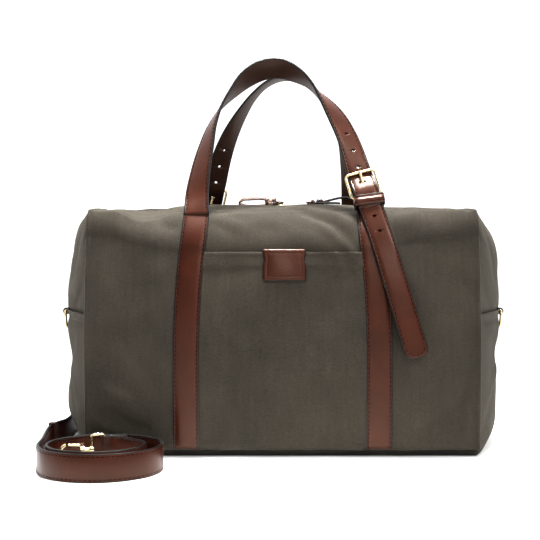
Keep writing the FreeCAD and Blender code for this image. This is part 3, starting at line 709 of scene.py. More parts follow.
def build_lining():
    """Cotton lining that hangs just inside the canvas all round."""
    verts, faces = [], []

    def add(points, flip):
        base = len(verts)
        verts.extend(points.reshape(-1, 3))
        some = grid_faces(points.shape[0], points.shape[1], base)
        faces.extend([f[::-1] for f in some] if flip else some)

    for side in (-1, 1):
        ts = np.linspace(3.0, T_MAX - 1.0, 90)
        add(canvas_point(np.linspace(-228, 228, 120)[:, None], ts[None, :], side, -4.0), side > 0)
        angle = np.linspace(-math.pi, math.pi, 97)
        s = np.linspace(0.0, 0.955, 30)[:, None]
        radius = rim_radius(angle, END_CENTRE)[None, :] * s
        y, z = radius * np.cos(angle), END_CENTRE[1] + radius * np.sin(angle)
        depth = end_depth(y, z, side) - 4.5
        add(np.stack([side * (SEAM_X + np.maximum(depth, -6.0)), y, z], -1), side < 0)
    o = piece("lining_cloth", np.array(verts), faces, [LINING])
    thicken(o, 0.6)
    settle(o, "bag", "lining", "lining")


build_base()
build_lining()
repaint(["base_board"], TAPE)


# ------------------------------------------------------------------ straps
STITCH = 3.7
STITCH_GAP = 1.5
STITCH_INSET = 3.0


def strap_section(width, thick, crown=0.25):
    """Half-round edged section of a strap with a crease where it is sewn: (across, out) points and
    which stretches are painted edge, face or back."""
    w, t, e = width / 2, thick / 2, min(1.0, thick / 2.6)
    r = w - STITCH_INSET
    rim = w - e - 0.55
    top = [(-w + e, t - 0.05), (-rim, t), (-r - 0.8, t + 0.05), (-r, t - 0.34), (-r + 0.9, t + 0.05),
           (-w * 0.45, t + crown), (0, t + crown * 1.1), (w * 0.45, t + crown), (r - 0.9, t + 0.05),
           (r, t - 0.34), (r + 0.8, t + 0.05), (rim, t), (w - e, t - 0.05)]
    right = [(w - e * 0.3, t - e * 0.3), (w, t - e), (w, -t + e), (w - e * 0.3, -t + e * 0.3)]
    bottom = [(w - e, -t), (0, -t), (-w + e, -t)]
    left = [(-x, z) for x, z in right[::-1]]
    points = top + right + bottom + left
    kinds = [1] + [0] * 10 + [1] * 6 + [2] * 2 + [1] * 5
    return np.array(points), kinds


def strap_frames(path, wide):
    """Unit along, across and outward directions at each point of a strap's centre line."""
    along = unit(np.gradient(path, axis=0))
    wide = unit(wide - along * np.sum(wide * along, axis=1, keepdims=True))
    return along, wide, np.cross(along, wide)


def build_strap(name, path, wide, width, thick, taper=None, materials=None, flip=False):
    """Strap mesh along path. taper gives a width factor for each station; flip turns its face round."""
    along, across, out = strap_frames(path, wide)
    if flip:
        out = -out
    shape, kinds = strap_section(width, thick)
    factor = np.ones(len(path)) if taper is None else taper
    verts = (path[:, None, :] + across[:, None, :] * (shape[:, 0][None, :] * factor[:, None])[..., None]
             + out[:, None, :] * shape[:, 1][None, :, None])
    n, k = len(path), len(shape)
    faces = grid_faces(n, k, closed=True)
    slots = kinds * (n - 1)
    faces += [tuple(range(k))[::-1], tuple(range((n - 1) * k, n * k))]
    slots += [1, 1]
    if flip:
        faces = [f[::-1] for f in faces]
    faces = [f[::-1] for f in faces]
    # the strap's back side gets the darkened back leather, partly painted shade
    return piece(name, verts.reshape(-1, 3), faces, materials or [LEATHER, EDGE, LEATHER_BACK_AND_SHADE], slots,
                 closed=True)


def build_stitches(name, rows, material, radius=0.62):
    """Rows of (points, outward) become one mesh of short raised stitches."""
    template = []
    for s, r in ((-0.5, 0.35), (-0.36, 0.9), (0.0, 1.0), (0.36, 0.9), (0.5, 0.35)):
        for k in range(6):
            a = k * math.pi / 3
            template.append((s, math.cos(a) * r, math.sin(a) * r))
    template = np.array(template)
    local = grid_faces(5, 6, closed=True) + [tuple(range(6))[::-1], tuple(range(24, 30))]
    verts, faces = [], []
    for points, outward in rows:
        data = np.concatenate([points, outward], 1)
        dense = resample(data, 0.5)
        s = distances_along(dense)
        count = int(s[-1] // (STITCH + STITCH_GAP))
        for i in range(count):
            a = (i + 0.5) * (STITCH + STITCH_GAP) - STITCH / 2
            ends = [np.array([np.interp(v, s, dense[:, c]) for c in range(6)]) for v in (a, a + STITCH)]
            p = (ends[0][:3] + ends[1][:3]) / 2
            along = ends[1][:3] - ends[0][:3]
            length = np.linalg.norm(along)
            along = along / max(length, 1e-6)
            up = unit(ends[0][3:])
            cross = unit(np.cross(along, up))
            up = np.cross(cross, along)
            v = (p + template[:, :1] * along * length + template[:, 1:2] * cross * radius
                 + template[:, 2:3] * up * radius * 0.8)
            base = len(verts) * len(template)
            verts.append(v)
            faces += [tuple(q + base for q in f) for f in local]
    return piece(name, np.concatenate(verts), faces, [material], closed=True)


def edge_rows(path, wide, width, thick, taper=None, flip=False, inset=STITCH_INSET, skip=0):
    """Stitch lines just above the crease along both edges of a strap."""
    along, across, out = strap_frames(path, wide)
    if flip:
        out = -out
    factor = np.ones(len(path)) if taper is None else taper
    rows = []
    stop = len(path) - skip
    for side in (-1, 1):
        offset = side * (width / 2 - inset) * factor
        rows.append(((path + across * offset[:, None] + out * (thick / 2 - 0.05))[skip:stop], out[skip:stop]))
    return rows


def finish_strap(o, stitches, body, nodes, blend=None):
    """Put a strap and its stitches on their body, or, when blend is given, bake their placement and leave
    them on no body; then hide the CAD nodes.
    """
    for item in (o, stitches):
        if item is None:
            continue
        if blend is None:
            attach(item, body)
        else:
            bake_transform(item)
    if nodes:
        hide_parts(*nodes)


def sewn_strap_path(side, top):
    """Centre line of a strap sewn up the canvas and on to its free top."""
    t0, t1 = t_at_height(11.0), t_at_height(262)
    ts = np.linspace(t0, t1, 60)
    z = base_point(0, ts)[:, 2]
    x = side * strap_x(z)
    sewn = canvas_point(x, ts, -1, 1.75)
    run = np.concatenate([sewn[::3], [np.asarray(top, float)]])
    return resample(catmull(run, 6), 4.0)


def punch(o, holes):
    """Cut round holes, given as (centre, axis, radius), through a closed strap."""
    for centre, axis, radius in holes:
        a = unit(np.asarray(axis, float))
        u = unit(np.cross(a, [0.3, 0.1, 1.0]))
        v = np.cross(a, u)
        ring = [np.asarray(centre) + u * radius * math.cos(q) + v * radius * math.sin(q)
                for q in np.linspace(0, 2 * math.pi, 17)[:-1]]
        verts = [p - a * 6 for p in ring] + [p + a * 6 for p in ring]
        faces = grid_faces(2, 16, closed=True) + [tuple(range(16))[::-1], tuple(range(16, 32))]
        cutter = piece("hole_cutter", verts, faces, [EDGE], closed=True)
        mod = o.modifiers.new("hole", "BOOLEAN")
        mod.object = cutter
        mod.solver = "EXACT"
        mod.material_mode = "TRANSFER"
        apply_modifiers(o)
        bpy.data.objects.remove(cutter)
    return o


ANCHOR_FOOT = BAR - ACROSS * 1.5 - UP * 18.0 - FORWARD * 0.5
LEFT_TOP = np.array([-103.0, -95.6, 297.0])
X_AXIS, Z_AXIS = np.array([1.0, 0.0, 0.0]), np.array([0.0, 0.0, 1.0])

def build_sewn_strap(which, turn, side, top):
    """Strap sewn up the canvas: side -1 ends under the loop's sewn foot, +1 ends in the anchor."""
    path = sewn_strap_path(side, top)
    wide = np.tile(X_AXIS, (len(path), 1))
    if turn < 0:
        path, wide = half_turn(path), half_turn(wide)
    word = "left" if side * turn < 0 else "right"
    strap = build_strap(f"strap_{which}_{word}", path, wide, STRAP_WIDTH, STRAP_THICK, flip=True)
    rows = edge_rows(path, wide, STRAP_WIDTH, STRAP_THICK, flip=True)
    if side < 0:
        # a row of stitches across the free end, where the loop is sewn on
        along, across, out = strap_frames(path, wide)
        offsets = np.linspace(-12.2, 12.2, 12)[:, None]
        line = path[-1] + across[-1] * offsets - out[-1] * STRAP_THICK / 2 - along[-1] * 3.0
        rows.append((line, np.tile(-out[-1], (12, 1))))
    stitches = build_stitches(f"stitches_{which}_{word}", rows, THREAD_DARK)
    finish_strap(strap, stitches, "bag", [f"{which}_strap_{word}"])


for which, turn in (("front", 1), ("back", -1)):
    build_sewn_strap(which, turn, -1, LEFT_TOP)
    build_sewn_strap(which, turn, 1, ANCHOR_FOOT)


# ------------------------------------------------------------------ carrying handles
def at_buckle(a, u, f):
    """Point given across, up and forward of the buckle's bar."""
    return BAR + ACROSS * a + UP * u + FORWARD * f


# centre line of the front loop and how far it is turned there, in degrees. The stations began as a
# scratch script's conversion of the loop's course and were then rounded and adjusted by hand.
HANDLE_ROUTE = [
    (-103.15, -101.4, 288.5, 2),
    (-103.3, -98.6, 295.5, 4),
    (-103.6, -90.2, 311.8, 15),
    (-101.5, -81.4, 336, 30),
    (-95, -68, 374, 47),
    (-88, -59.7, 403, 65),
    (-77.3, -53.4, 427, 82),
    (-62.5, -48.5, 447, 101),
    (-44, -44.8, 466, 122),
    (-24, -43, 477, 132),
    (-2, -43, 479, 130),
    (19, -44.5, 470.5, 113),
    (38, -47, 456.5, 90),
    (54, -51, 438, 62),
    (69, -56.5, 414.5, 38),
    (80, -62.8, 391, 27),
    (88.2, -70.8, 366, 16),
    (*at_buckle(0, 38.6, -4.6), 6),
    (*at_buckle(0, 28.6, -3.5), 1),
    (*at_buckle(0, 17.8, 1.2), 0),
    (*at_buckle(0.1, 8, 6.2), 0),
    (*at_buckle(0.2, 0, 7.9), 0),
    (*at_buckle(0.3, -8, 7.9), 0),
    (*at_buckle(0.4, -15.5, 7.9), 0),
]
# the back loop stands a little higher and turns edge on where it passes behind the front one
BACK_ROUTE = HANDLE_ROUTE[:3] + [
    (-101.5, -81.4, 337, 34),
    (-95.5, -68, 376, 56),
    (-88, -59.7, 406, 72),
    (-77, -53.4, 432, 83),
    (-62, -48.5, 455, 89),
    (-44, -44.8, 475, 91),
    (-24, -43, 487, 91),
    (-2, -43, 489, 90),
    (19, -44.5, 481, 88),
    (38, -47, 464, 82),
    (54, -51, 442, 70),
    (69, -56.5, 416, 54),
    (80, -62.8, 391, 38),
    (88.2, -70.8, 366, 20),
] + HANDLE_ROUTE[17:]
HOLE_R, PRONG_HOLE_R = 1.9, 2.6
LOOP_HOLES = ((80.0, -62.8, 391.0), (87.2, -70.0, 369.5), (92.5, -77.5, 348.0))
TAIL_HOLES = (14.0, 35.0)
TAIL_TILT, KEEPER_TILT = math.radians(16.0), math.radians(7.0)
# height and depth of the hanging tail, counted from its top
TAIL_ROUTE = [(0, 0), (-12, -4.6), (-30, -12.0), (-52, -17.8), (-80, -21.8), (-120, -25.4),
              (-160, -28.6), (-178, -30.0)]
KEEPER_HALF, KEEPER_CORNER = (16.9, 10.4), 3.2
KEEPER_WIDTH, KEEPER_THICK = 13.4, 2.0
ANCHOR_FOLD_R = 5.2


def route_wide(route, turns):
    """Across direction of the loop strap from its route and turn angles."""
    along = unit(np.gradient(route, axis=0))
    out = unit(np.cross(along, np.array([0.0, 1.0, 0.0])))
    back = unit(np.cross(out, along))
    back = np.where(back[:, 1:2] < 0, -back, back)
    c, s = np.cos(np.radians(turns))[:, None], np.sin(np.radians(turns))[:, None]
    return out * c + back * s


def handle_path(route):
    """Evenly spaced centre line of a loop with its across directions."""
    data = resample(catmull(route, 10), 3.0)
    return data[:, :3], route_wide(data[:, :3], data[:, 3])


def tail_path():
    """Centre line of the hanging end below the keeper."""
    top = at_buckle(0.4, -16.0, 7.9)
    drop = math.tan(TAIL_TILT)
    points = [(top[0] - dz * drop, top[1] + dy, top[2] + dz) for dz, dy in TAIL_ROUTE]
    return resample(catmull(points, 8), 2.0)


def round_taper(path, length):
    """Width factors that round off the strap's last end."""
    s = distances_along(path)
    left = np.clip((s[-1] - s) / length, 0, 1)
    return np.maximum((1 - (1 - left) ** 2.6) ** 0.42, 0.02)


def placer(turn):
    """Leaves the front handle's points as they are (1) or turns them to the back (-1)."""
    return half_turn if turn < 0 else np.asarray


def nearest(path, spot):
    """Index of the point of path that is nearest to spot."""
    return int(np.argmin(np.linalg.norm(path - spot, axis=1)))


def build_loop(which, turn):
    """Loop strap with its holes; it runs on under the keeper and bends at its feet."""
    place = placer(turn)
    path, wide = (place(p) for p in handle_path(HANDLE_ROUTE if turn > 0 else BACK_ROUTE))
    strap = build_strap(f"{which}_loop_strap", path, wide, HANDLE_WIDTH, HANDLE_THICK)
    out = strap_frames(path, wide)[2]
    spots = [(nearest(path, place(spot)), HOLE_R) for spot in LOOP_HOLES]
    spots.append((nearest(path, place(at_buckle(0, 16.0, 1.5))), PRONG_HOLE_R))
    punch(strap, [(path[i], out[i], radius) for i, radius in spots])
    rows = edge_rows(path, wide, HANDLE_WIDTH, HANDLE_THICK, skip=2)
    stitches = build_stitches(f"{which}_loop_stitches", rows, THREAD_DARK)
    axis = unit(BAR - FLEX_LEFT)
    rise = unit(np.array([-axis[2], 0.0, axis[0]]))
    ends = [tuple(place(p) * MM) for p in (BAR - rise * 3.0, BAR + rise * 15.0)]
    blend = ("bag", f"{which}_handle", *ends)
    finish_strap(strap, stitches, None, [f"{which}_handle", f"{which}_strap_passage"], blend=blend)


def build_tail(which, turn):
    """Hanging end of the handle strap, rounded at its tip, with stitches running round it."""
    place = placer(turn)
    tail = tail_path()
    taper = round_taper(tail, 11.0)
    wide = np.tile(unit(np.array([math.cos(TAIL_TILT), 0, math.sin(TAIL_TILT)])), (len(tail), 1))
    tail, wide = place(tail), place(wide)
    strap = build_strap(f"{which}_tail_strap", tail, wide, TAIL_WIDTH, HANDLE_THICK, taper=taper)
    along, across, out = strap_frames(tail, wide)
    spots = [int(np.argmin(np.abs(distances_along(tail) - distance))) for distance in TAIL_HOLES]
    punch(strap, [(tail[i], out[i], HOLE_R) for i in spots])
    rows = [(line[:-7], outward[:-7]) for line, outward in edge_rows(tail, wide, TAIL_WIDTH, HANDLE_THICK)]
    radius = TAIL_WIDTH / 2 - STITCH_INSET
    bend = np.linspace(-math.pi / 2, math.pi / 2, 14)[:, None]
    tip = (tail[-8] + across[-8] * (radius * np.sin(bend)) + along[-8] * (radius * np.cos(bend))
           + out[-8] * 1.45)
    rows.append((tip, np.tile(out[-8], (14, 1))))
    stitches = build_stitches(f"{which}_tail_stitches", rows, THREAD_DARK)
    blend = ("bag", f"{which}_tail", tuple(tail[0] * MM), tuple(tail[4] * MM))
    finish_strap(strap, stitches, None, [f"{which}_tail"], blend=blend)


def build_keeper(which, turn):
    """A narrow strap wrapped round the strap passage and the anchor."""
    place = placer(turn)
    across = np.array([math.cos(KEEPER_TILT), 0, math.sin(KEEPER_TILT)])
    up = np.array([-math.sin(KEEPER_TILT) * math.cos(LEAN), math.sin(LEAN),
                   math.cos(KEEPER_TILT) * math.cos(LEAN)])
    out = np.cross(across, up)
    centre = at_buckle(0.9, -8.2, 1.7)
    half_w, half_d = (half - KEEPER_CORNER for half in KEEPER_HALF)
    ring = []
    for sa, sf in ((1, 1), (-1, 1), (-1, -1), (1, -1)):
        for q in np.linspace(0, math.pi / 2, 7):
            c, s = (math.cos(q), math.sin(q)) if sa * sf > 0 else (math.sin(q), math.cos(q))
            ring.append((sa * (half_w + KEEPER_CORNER * c), sf * (half_d + KEEPER_CORNER * s)))
    ring.append(ring[0])
    loop = place(resample([centre + across * a + out * f for a, f in ring], 1.6))
    wide = np.tile(place(up), (len(loop), 1))
    keeper = build_strap(f"{which}_keeper_leather", loop, wide, KEEPER_WIDTH, KEEPER_THICK, flip=True)
    finish_strap(keeper, None, "bag", [f"{which}_keeper"])


def build_anchor(which, turn):
    """The sewn strap's end, folded over the buckle's bar in two halves that leave a slot for the prong."""
    place = placer(turn)
    r = ANCHOR_FOLD_R
    fold = [(-20.0, -r), (-12.0, -r), (0.0, -r)]
    fold += [(r * math.sin(q), -r * math.cos(q)) for q in np.linspace(0.3, math.pi - 0.3, 9)]
    fold += [(0.0, r), (-12.0, r), (-20.0, r)]
    for number, (a0, a1) in enumerate(((-13.5, -3.2), (3.2, 13.5))):
        line = place(resample([at_buckle((a0 + a1) / 2, u, f) for u, f in fold], 1.5))
        wide = np.tile(place(ACROSS), (len(line), 1))
        half = build_strap(f"{which}_anchor_leather_{number + 1}", line, wide, a1 - a0, 1.8)
        finish_strap(half, None, "bag", [f"{which}_anchor"])


for which, turn in (("front", 1), ("back", -1)):
    for build in (build_loop, build_tail, build_keeper, build_anchor):
        build(which, turn)


# ------------------------------------------------------------------ front pocket and label
def build_pocket():
    """Flat patch pocket between the straps with a folded, stitched hem."""
    t0, t1 = t_at_height(9.5), t_at_height(POCKET_TOP_Z)
    ts = np.concatenate([np.linspace(t0, t1, 90), [t1 + 0.05, t1 + 0.05]])
    z = base_point(0, ts)[:, 2]
    half = strap_x(z) - STRAP_WIDTH / 2 + 1.0
    a = np.linspace(-1, 1, 90)
    x = a[:, None] * half[None, :]
    # the doubled cloth of the hem, a slight waviness of the loose upper part, and the hem's rim
    hem = 0.9 * smooth(POCKET_TOP_Z - 17.5, POCKET_TOP_Z - 15.5, z)
    lift = np.broadcast_to(1.5 + hem, x.shape).copy()
    lift += 0.35 * np.sin(a * 9.0)[:, None] * smooth(100, 236, z)[None, :]
    lift += 0.7 * smooth(POCKET_TOP_Z - 3.0, POCKET_TOP_Z - 1.0, z)
    lift -= 0.7 * np.exp(-((z - (POCKET_TOP_Z - 3.6)) / 1.0) ** 2)[None, :]
    lift[:, -2] = lift[:, -3] - 0.9
    lift[:, -1] = 0.1
    points = canvas_point(x, np.broadcast_to(ts, x.shape), -1, lift)
    canvas_sheet("pocket_canvas", points, "front_pocket", thickness=1.2)
    rows = []
    # the stitch line is broken where the label covers it
    t = t_at_height(POCKET_TOP_Z - 3.6)
    xs = np.linspace(-85, 85, 60)
    for part in (xs[xs < -26], xs[xs > 20]):
        here = np.full(len(part), t)
        rows.append((canvas_point(part, here, -1, 2.2), base_normal(part, here)))
    stitches = build_stitches("pocket_stitches", rows, THREAD_CANVAS, radius=0.5)
    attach(stitches, "bag")


def build_label():
    """Leather tag folded over the hem, sewn at its sides, with a plain pressed border."""
    first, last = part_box("pocket_label")
    x0, x1, low, high = first.x / MM, last.x / MM, first.z / MM, last.z / MM
    zs = np.concatenate([np.linspace(low, high - 2, 44), [high - 0.8, high - 0.1, high, high - 0.3]])
    ts = np.array([t_at_height(min(z, high)) for z in zs])
    xs = np.linspace(x0, x1, 50)
    a = (xs - x0) / (x1 - x0)
    b = (zs - low) / (high - low)
    lift = np.full((len(xs), len(zs)), 4.0)
    edge = np.minimum(np.minimum(a, 1 - a)[:, None] * (x1 - x0), np.minimum(b, 1 - b)[None, :] * (high - low))
    # the pressed border, the rounded edge, a slight crown, and the fold over the hem
    lift -= 0.45 * np.exp(-((edge - 4.2) / 0.5) ** 2)
    lift -= 0.8 * np.exp(-(edge / 0.8) ** 2)
    lift += 0.4 * np.sin(a * math.pi)[:, None]
    lift[:, -3:] = (3.0, 2.2, 0.9)
    # waisted a little below the fold, where it is sewn down
    xx = np.broadcast_to(xs[:, None], lift.shape).copy()
    waist = 1.6 * np.exp(-((zs - (high - 12.0)) / 3.2) ** 2)[None, :]
    mid = (x0 + x1) / 2
    xx = mid + (xx - mid) * (1 - waist / ((x1 - x0) / 2))
    points = canvas_point(xx, np.broadcast_to(ts, lift.shape), -1, lift)
    rows, cols = lift.shape
    border = [int(i in (0, rows - 2) or j == 0) for i in range(rows - 1) for j in range(cols - 1)]
    o = piece("label_leather", points.reshape(-1, 3), grid_faces(rows, cols), [LEATHER, EDGE], border)
    mod = o.modifiers.new("thick", "SOLIDIFY")
    mod.thickness = 1.5 * MM
    mod.offset = -1
    mod.material_offset_rim = 1
    apply_modifiers(o)
    settle(o, "bag", "leather", "pocket_label")
    rows = []
    for x in (x0 + 2.2, x1 - 2.2):
        zs = np.linspace(high - 8.0, high - 16.5, 6)
        ts = np.array([t_at_height(z) for z in zs])
        rows.append((canvas_point(np.full(6, x), ts, -1, 4.4), base_normal(np.full(6, x), ts)))
    stitches = build_stitches("label_stitches", rows, THREAD_CANVAS)
    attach(stitches, "bag")


build_pocket()
build_label()


# ------------------------------------------------------------------ zip
repaint([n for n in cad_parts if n.startswith("zip_tape")], TAPE)
repaint(["zip_end_stops", "left_slider", "right_slider", "left_bail", "right_bail"], ZIP_BRASS)
repaint([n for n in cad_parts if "buckle" in n or "prong" in n or "d_ring" in n
         or n.split("_")[0] in ("inner", "outer")], BRASS)
repaint(["left_ring_tab", "right_ring_tab"], EDGE)


def build_teeth():
    """Two rows of moulded teeth that interlock along the middle."""
    low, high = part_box("zip_teeth")
    z0, z1 = low.z / MM, high.z / MM
    pitch = 2.6
    verts, faces = [], []
    shape = [(-0.75, -0.2), (-0.5, 2.9), (0.5, 2.9), (0.75, -0.2)]
    count = int((high.x - low.x) / MM / pitch)
    for side in (-1, 1):
        for i in range(count):
            x = low.x / MM + pitch * (i + (0.5 if side > 0 else 0.0)) + 1.0
            base = len(verts)
            for z, grow in ((z0, 1.0), (z1 - 0.4, 1.0), (z1, 0.7)):
                for dx, dy in shape:
                    verts.append((x + dx * grow, side * (dy - 0.4), z))
            for level in range(2):
                for k in range(4):
                    a, b = base + level * 4 + k, base + level * 4 + (k + 1) % 4
                    faces.append((a, b, b + 4, a + 4))
            faces += [(base + 3, base + 2, base + 1, base), (base + 8, base + 9, base + 10, base + 11)]
    o = piece("zip_teeth_rows", verts, faces, [ZIP_BRASS], smooth_shade=False)
    settle(o, "bag", "zip_metal", "zip_teeth")


build_teeth()


# ------------------------------------------------------------------ shoulder strap
COIL_CENTRE = (-203.0, -168.0)
COIL_STEPS, COIL_TURNS = 26, 1.72
COIL_INNER, COIL_GROWTH, COIL_GROW_TURNS = (45.0, 30.0), (23.0, 20.5), 1.2
SHOULDER_WIDTH, SHOULDER_THICK, RAISE = 30.0, 3.4, 2.6


def coil_point(turns):
    """Point of the oval coil after so many turns."""
    grow = min(turns, COIL_GROW_TURNS) / COIL_GROW_TURNS
    angle = math.radians(90 - 360 * turns)
    return (COIL_CENTRE[0] + (COIL_INNER[0] + COIL_GROWTH[0] * grow) * math.cos(angle),
            COIL_CENTRE[1] + (COIL_INNER[1] + COIL_GROWTH[1] * grow) * math.sin(angle), 0.0)


SIDE_ROUTE = [(-276, -138), (-281, -112), (-284, -86), (-283, -58), (-279, -30), (-277.5, 5), (-279, 40),
              (-284, 75), (-291, 110), (-296, 142)]


def build_ring_fold(word, end, way):
    """The strap's end, folded round the nearer bar of its ring; way points out of the strap."""
    aside = np.array([-way[1], way[0], 0.0])
    bar = np.array([end[0], end[1], SHOULDER_WIDTH / 2 + RAISE]) + way * 2.4
    turn = np.linspace(-math.pi / 2, math.pi / 2, 15)
    fold = bar + way * (2.8 * np.cos(turn))[:, None] + aside * (2.8 * np.sin(turn))[:, None]
    fold = resample([fold[0] - way * 26.0, fold[0] - way * 9.0, *fold, fold[-1] - way * 9.0,
                     fold[-1] - way * 26.0], 1.0)
    wide = np.tile(Z_AXIS, (len(fold), 1))
    o = build_strap(f"{word}_ring_fold", fold, wide, SHOULDER_WIDTH - 1.5, 1.4, flip=True)
    finish_strap(o, None, "shoulder_strap", None)


def build_shoulder_strap():
    """The detached strap, on edge: an oval coil in front, then back along the bag's left end."""
    route = [coil_point(COIL_TURNS * i / COIL_STEPS) for i in range(COIL_STEPS + 1)]
    route += [(x, y, 0.0) for x, y in SIDE_ROUTE]
    buckle, keeper = len(route) - 4, len(route) - 8
    # where its metal parts raise the strap off the floor, and by what share
    lifted = {0: 1.0, 1: 0.4, keeper: 0.7, keeper + 1: 0.7, buckle - 1: 0.6, buckle: 1.0, buckle + 1: 0.8,
              len(route) - 2: 0.8, len(route) - 1: 1.0}
    rows = [(x, y, SHOULDER_WIDTH / 2 + RAISE * lifted.get(i, 0.0)) for i, (x, y, _) in enumerate(route)]
    path = resample(catmull(rows, 10), 3.0)
    wide = np.tile(Z_AXIS, (len(path), 1))
    strap = build_strap("shoulder_strap_leather", path, wide, SHOULDER_WIDTH, SHOULDER_THICK,
                        materials=[LEATHER, EDGE, LEATHER])
    rows = []
    for flip in (False, True):
        rows += edge_rows(path, wide, SHOULDER_WIDTH, SHOULDER_THICK, flip=flip)
    stitches = build_stitches("shoulder_strap_stitches", rows, THREAD_DARK)
    finish_strap(strap, stitches, "shoulder_strap", ["shoulder_strap"])
    build_ring_fold("inner", route[0], unit(np.array([-1.0, -0.35, 0.0])))
    build_ring_fold("outer", route[-1], unit(np.array(route[-1]) - np.array(route[-2])))


build_shoulder_strap()
repaint(["shoulder_keeper"], LEATHER)


# ------------------------------------------------------------------ pull laces
# a far lighter copy of the strap leather: its colour is a painted highlight for the lit top faces of the left
# lace and its middle wrap
LACE_PAINTED_HIGHLIGHT = leather("lace_painted_highlight", (0.20, 0.115, 0.085), (0.34, 0.22, 0.17), 0.5)
LEAN_TO_FRONT = np.array([0.0, math.cos(math.radians(32)), math.sin(math.radians(32))])
LACE_WIDTH_LEFT, LACE_WIDTH_RIGHT = 7.0, 3.2
WRAP_THICK = 1.4

LEFT_THONG = [(-4, 0, 310.3), (-14, 1, 308.6), (-26, 0, 307.4), (-40, 0, 307.0), (-50, 1, 308.0),
              (-56, 1, 311.4), (-52, 1, 315.4), (-42, 1, 316.8), (-30, 1, 317.2), (-18, 1, 316.6),
              (-8, 1, 314.4)]
RIGHT_THONG = [(40, 0, 310.3), (47, 0.6, 310.6), (56, 0, 312.4), (66, -1, 315), (76, -2, 317.2),
               (84, -2.6, 318), (89, -3, 317.4), (92, -3, 315.4)]
RIGHT_THONG_LOW = [(46, -4.6, 310.4), (52, -5.4, 310.6), (60, -6.4, 310.6), (72, -8, 310.3),
                   (78, -8.6, 309.9)]


def build_thong(name, points, width, thick, node_name, materials, wide=LEAN_TO_FRONT):
    """Flat lace along its points; returns it and the line it follows."""
    path = resample(catmull(points, 8), 1.5)
    o = build_strap(name, path, np.tile(wide, (len(path), 1)), width, thick, materials=materials)
    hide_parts(node_name)
    return o, path


def build_wrap(name, centre, axis, size, width, thick, material):
    """Short band of leather wound once round the laces."""
    axis = unit(np.array(axis, float))
    u = unit(np.cross(axis, [0.0, 0.0, 1.0]))
    v = np.cross(u, axis)
    ring = []
    for q in np.linspace(0, 2 * math.pi, 29):
        c, s = math.cos(q), math.sin(q)
        ring.append(np.asarray(centre) + u * size[0] * np.sign(c) * abs(c) ** 0.8
                    + v * size[1] * np.sign(s) * abs(s) ** 0.8)
    path = np.array(ring)
    wide = np.tile(axis, (len(path), 1))
    return build_strap(name, path, wide, width, thick, materials=[material, EDGE, material])


def build_twist(name, start, end, turns, body):
    """Two thin strands, one brown and one black, laid round each other."""
    start, end = np.array(start, float), np.array(end, float)
    axis = unit(end - start)
    u = unit(np.cross(axis, [0.0, 0.0, 1.0]))
    v = np.cross(u, axis)
    made = []
    for k, material in enumerate((LEATHER, EDGE)):
        t = np.linspace(0, 1, 60)
        a = 2 * math.pi * (turns * t + k / 2)
        path = (start + (end - start) * t[:, None] + u * (1.9 * np.cos(a))[:, None]
                + v * (1.9 * np.sin(a))[:, None])
        wide = -u * np.sin(a)[:, None] + v * np.cos(a)[:, None]
        materials = [material, EDGE, material]
        made.append(build_strap(f"{name}_{k + 1}", path, wide, 3.0, 1.6, materials=materials))
        settle(made[-1], body, "lace")
    return made


def build_pulls():
    """Leather thongs knotted through the sliders' bails."""
    # the left thong is drawn in the lighter lace leather, a painted highlight
    left, left_path = build_thong("left_pull_thong", LEFT_THONG, LACE_WIDTH_LEFT, 2.1, "left_lace",
                                  [LACE_PAINTED_HIGHLIGHT, EDGE, LACE_PAINTED_HIGHLIGHT])
    left_with = build_twist("left_pull_twist", (1.5, 0, 310.2), (-9, 0.5, 311.0), 1.2, "left_pull")
    # the middle wrap is in the lighter lace leather too, a painted highlight
    for number, (x, lean, width) in enumerate(((-9, 0.10, 5.0), (-15, -0.25, 4.4), (-19.5, 0.15, 3.6))):
        wrap = build_wrap(f"left_pull_wrap_{number + 1}", (x, 0.8, 312.0), (1, 0, lean),
                          (4.6, 5.6 - 0.3 * number), width, WRAP_THICK, LACE_PAINTED_HIGHLIGHT if number == 1 else LEATHER)
        left_with.append(wrap)
    right, right_path = build_thong("right_pull_thong", RIGHT_THONG, LACE_WIDTH_RIGHT, 1.8, "right_lace",
                                    [EDGE, EDGE, EDGE])
    right_with = build_twist("right_pull_twist", (34.5, 0, 310.2), (44, 0.5, 310.6), 1.2, "right_pull")
    low, _ = build_thong("right_pull_thong_end", RIGHT_THONG_LOW, LACE_WIDTH_RIGHT, 1.6, "right_lace_low",
                         [EDGE, EDGE, EDGE])
    right_with.append(low)
    for number, (x, lean, width) in enumerate(((43, 0.3, 4.0), (48.5, -0.3, 4.4), (54, 0.25, 3.2))):
        wrap = build_wrap(f"right_pull_wrap_{number + 1}", (x, 0.2, 311.4 + 0.3 * number), (1, 0, lean),
                          (4.0, 4.0), width, WRAP_THICK, EDGE if number == 1 else LEATHER)
        right_with.append(wrap)
    for body, main, extra in (("left_pull", left, left_with), ("right_pull", right, right_with)):
        for o in [main] + extra:
            settle(o, body, "lace")
    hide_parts("left_knot")
    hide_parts("right_knot")


build_pulls()


# ------------------------------------------------------------------ stage, light and camera
CAMERA_AT, LENS, SENSOR = (-0.015, -1.0, 0.222), 50, 36
# name, place, where it points, width, depth, power and spread in degrees
LIGHTS = [
    ("key", (0.9, -1.3, 1.35), (0.05, 0, 0.22), 0.7, 0.4, 14, 180),
    ("front_strip", (0.35, -1.75, 0.72), (0.1, -0.1, 0.22), 0.55, 0.22, 4.5, 180),
    ("top", (0.02, -0.12, 1.8), (0, -0.02, 0.3), 0.6, 0.22, 3.4, 26),
    ("sky_panel", (0.0, 0.3, 1.9), (0, 0, 0.25), 0.9, 0.9, 26, 180),
    ("left_side", (-1.8, 0.1, 0.7), (-0.2, 0, 0.15), 1.0, 1.0, 3.6, 180),
    ("right_side", (1.8, 0.1, 0.7), (0.2, 0, 0.15), 1.0, 1.0, 2, 180),
]


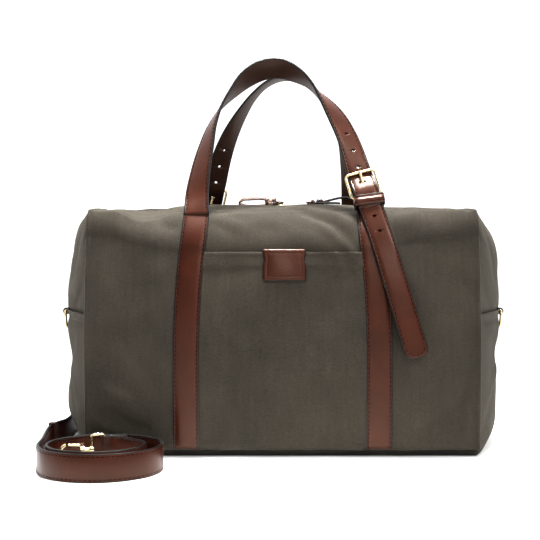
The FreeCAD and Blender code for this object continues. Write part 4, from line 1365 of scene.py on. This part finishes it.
def area_light(name, place, look_at, size_x, size_y, power, spread):
    """Soft rectangular light."""
    data = bpy.data.lights.new(name, "AREA")
    data.shape = "RECTANGLE"
    data.size = size_x
    data.size_y = size_y
    data.energy = power
    data.spread = math.radians(spread)
    o = bpy.data.objects.new(name, data)
    o.location = place
    o.rotation_euler = (Vector(look_at) - Vector(place)).to_track_quat("-Z", "Y").to_euler()
    bpy.context.scene.collection.objects.link(o)


def build_floor():
    """Wide pale floor."""
    m, tree, bsdf = new_material("studio_white", 0.9)
    speck = ramp(tree, noise(tree, 3.0), [(0.0, (0.91, 0.91, 0.91)), (1.0, (0.93, 0.93, 0.93))])
    tree.links.new(speck, bsdf.inputs["Base Color"])
    mesh = bpy.data.meshes.new("floor")
    corners = [(-30.0, -30.0, 0), (30.0, -30.0, 0), (30.0, 30.0, 0), (-30.0, 30.0, 0)]
    mesh.from_pydata(corners, [], [(0, 1, 2, 3)])
    mesh.materials.append(m)
    floor = bpy.data.objects.new("floor", mesh)
    bpy.context.scene.collection.objects.link(floor)


def build_world():
    """Surroundings that are white behind the bag and overhead, and dim in front of it."""
    world = bpy.data.worlds.new("studio")
    world.use_nodes = True
    tree = world.node_tree
    background = tree.nodes["Background"]
    background.inputs["Strength"].default_value = 1.22
    sky = node(tree, "ShaderNodeTexCoord")
    parts = node(tree, "ShaderNodeSeparateXYZ")
    tree.links.new(sky.outputs["Generated"], parts.inputs[0])
    behind = math_node(tree, "MULTIPLY", parts.outputs["Y"], 0.3)
    above = math_node(tree, "MULTIPLY_ADD", parts.outputs["Z"], 0.4)
    above.node.inputs[2].default_value = 0.5
    shade = math_node(tree, "ADD", behind, above)
    colour = ramp(tree, shade, [(0.26, (0.035, 0.035, 0.035)), (0.62, (1.0, 1.0, 1.0))])
    tree.links.new(colour, background.inputs["Color"])
    bpy.context.scene.world = world


def build_stage():
    """Floor, surroundings, lights and the camera."""
    build_floor()
    build_world()
    bpy.context.scene.view_settings.view_transform = "Standard"
    bpy.context.scene.view_settings.look = "Medium High Contrast"
    for light in LIGHTS:
        area_light(*light)
    camera_data = bpy.data.cameras.new("camera")
    camera_data.lens = LENS
    camera_data.sensor_width = SENSOR
    camera = bpy.data.objects.new("camera", camera_data)
    camera.location = CAMERA_AT
    camera.rotation_euler = (math.radians(90), 0, 0)
    bpy.context.scene.collection.objects.link(camera)
    bpy.context.scene.camera = camera


build_stage()
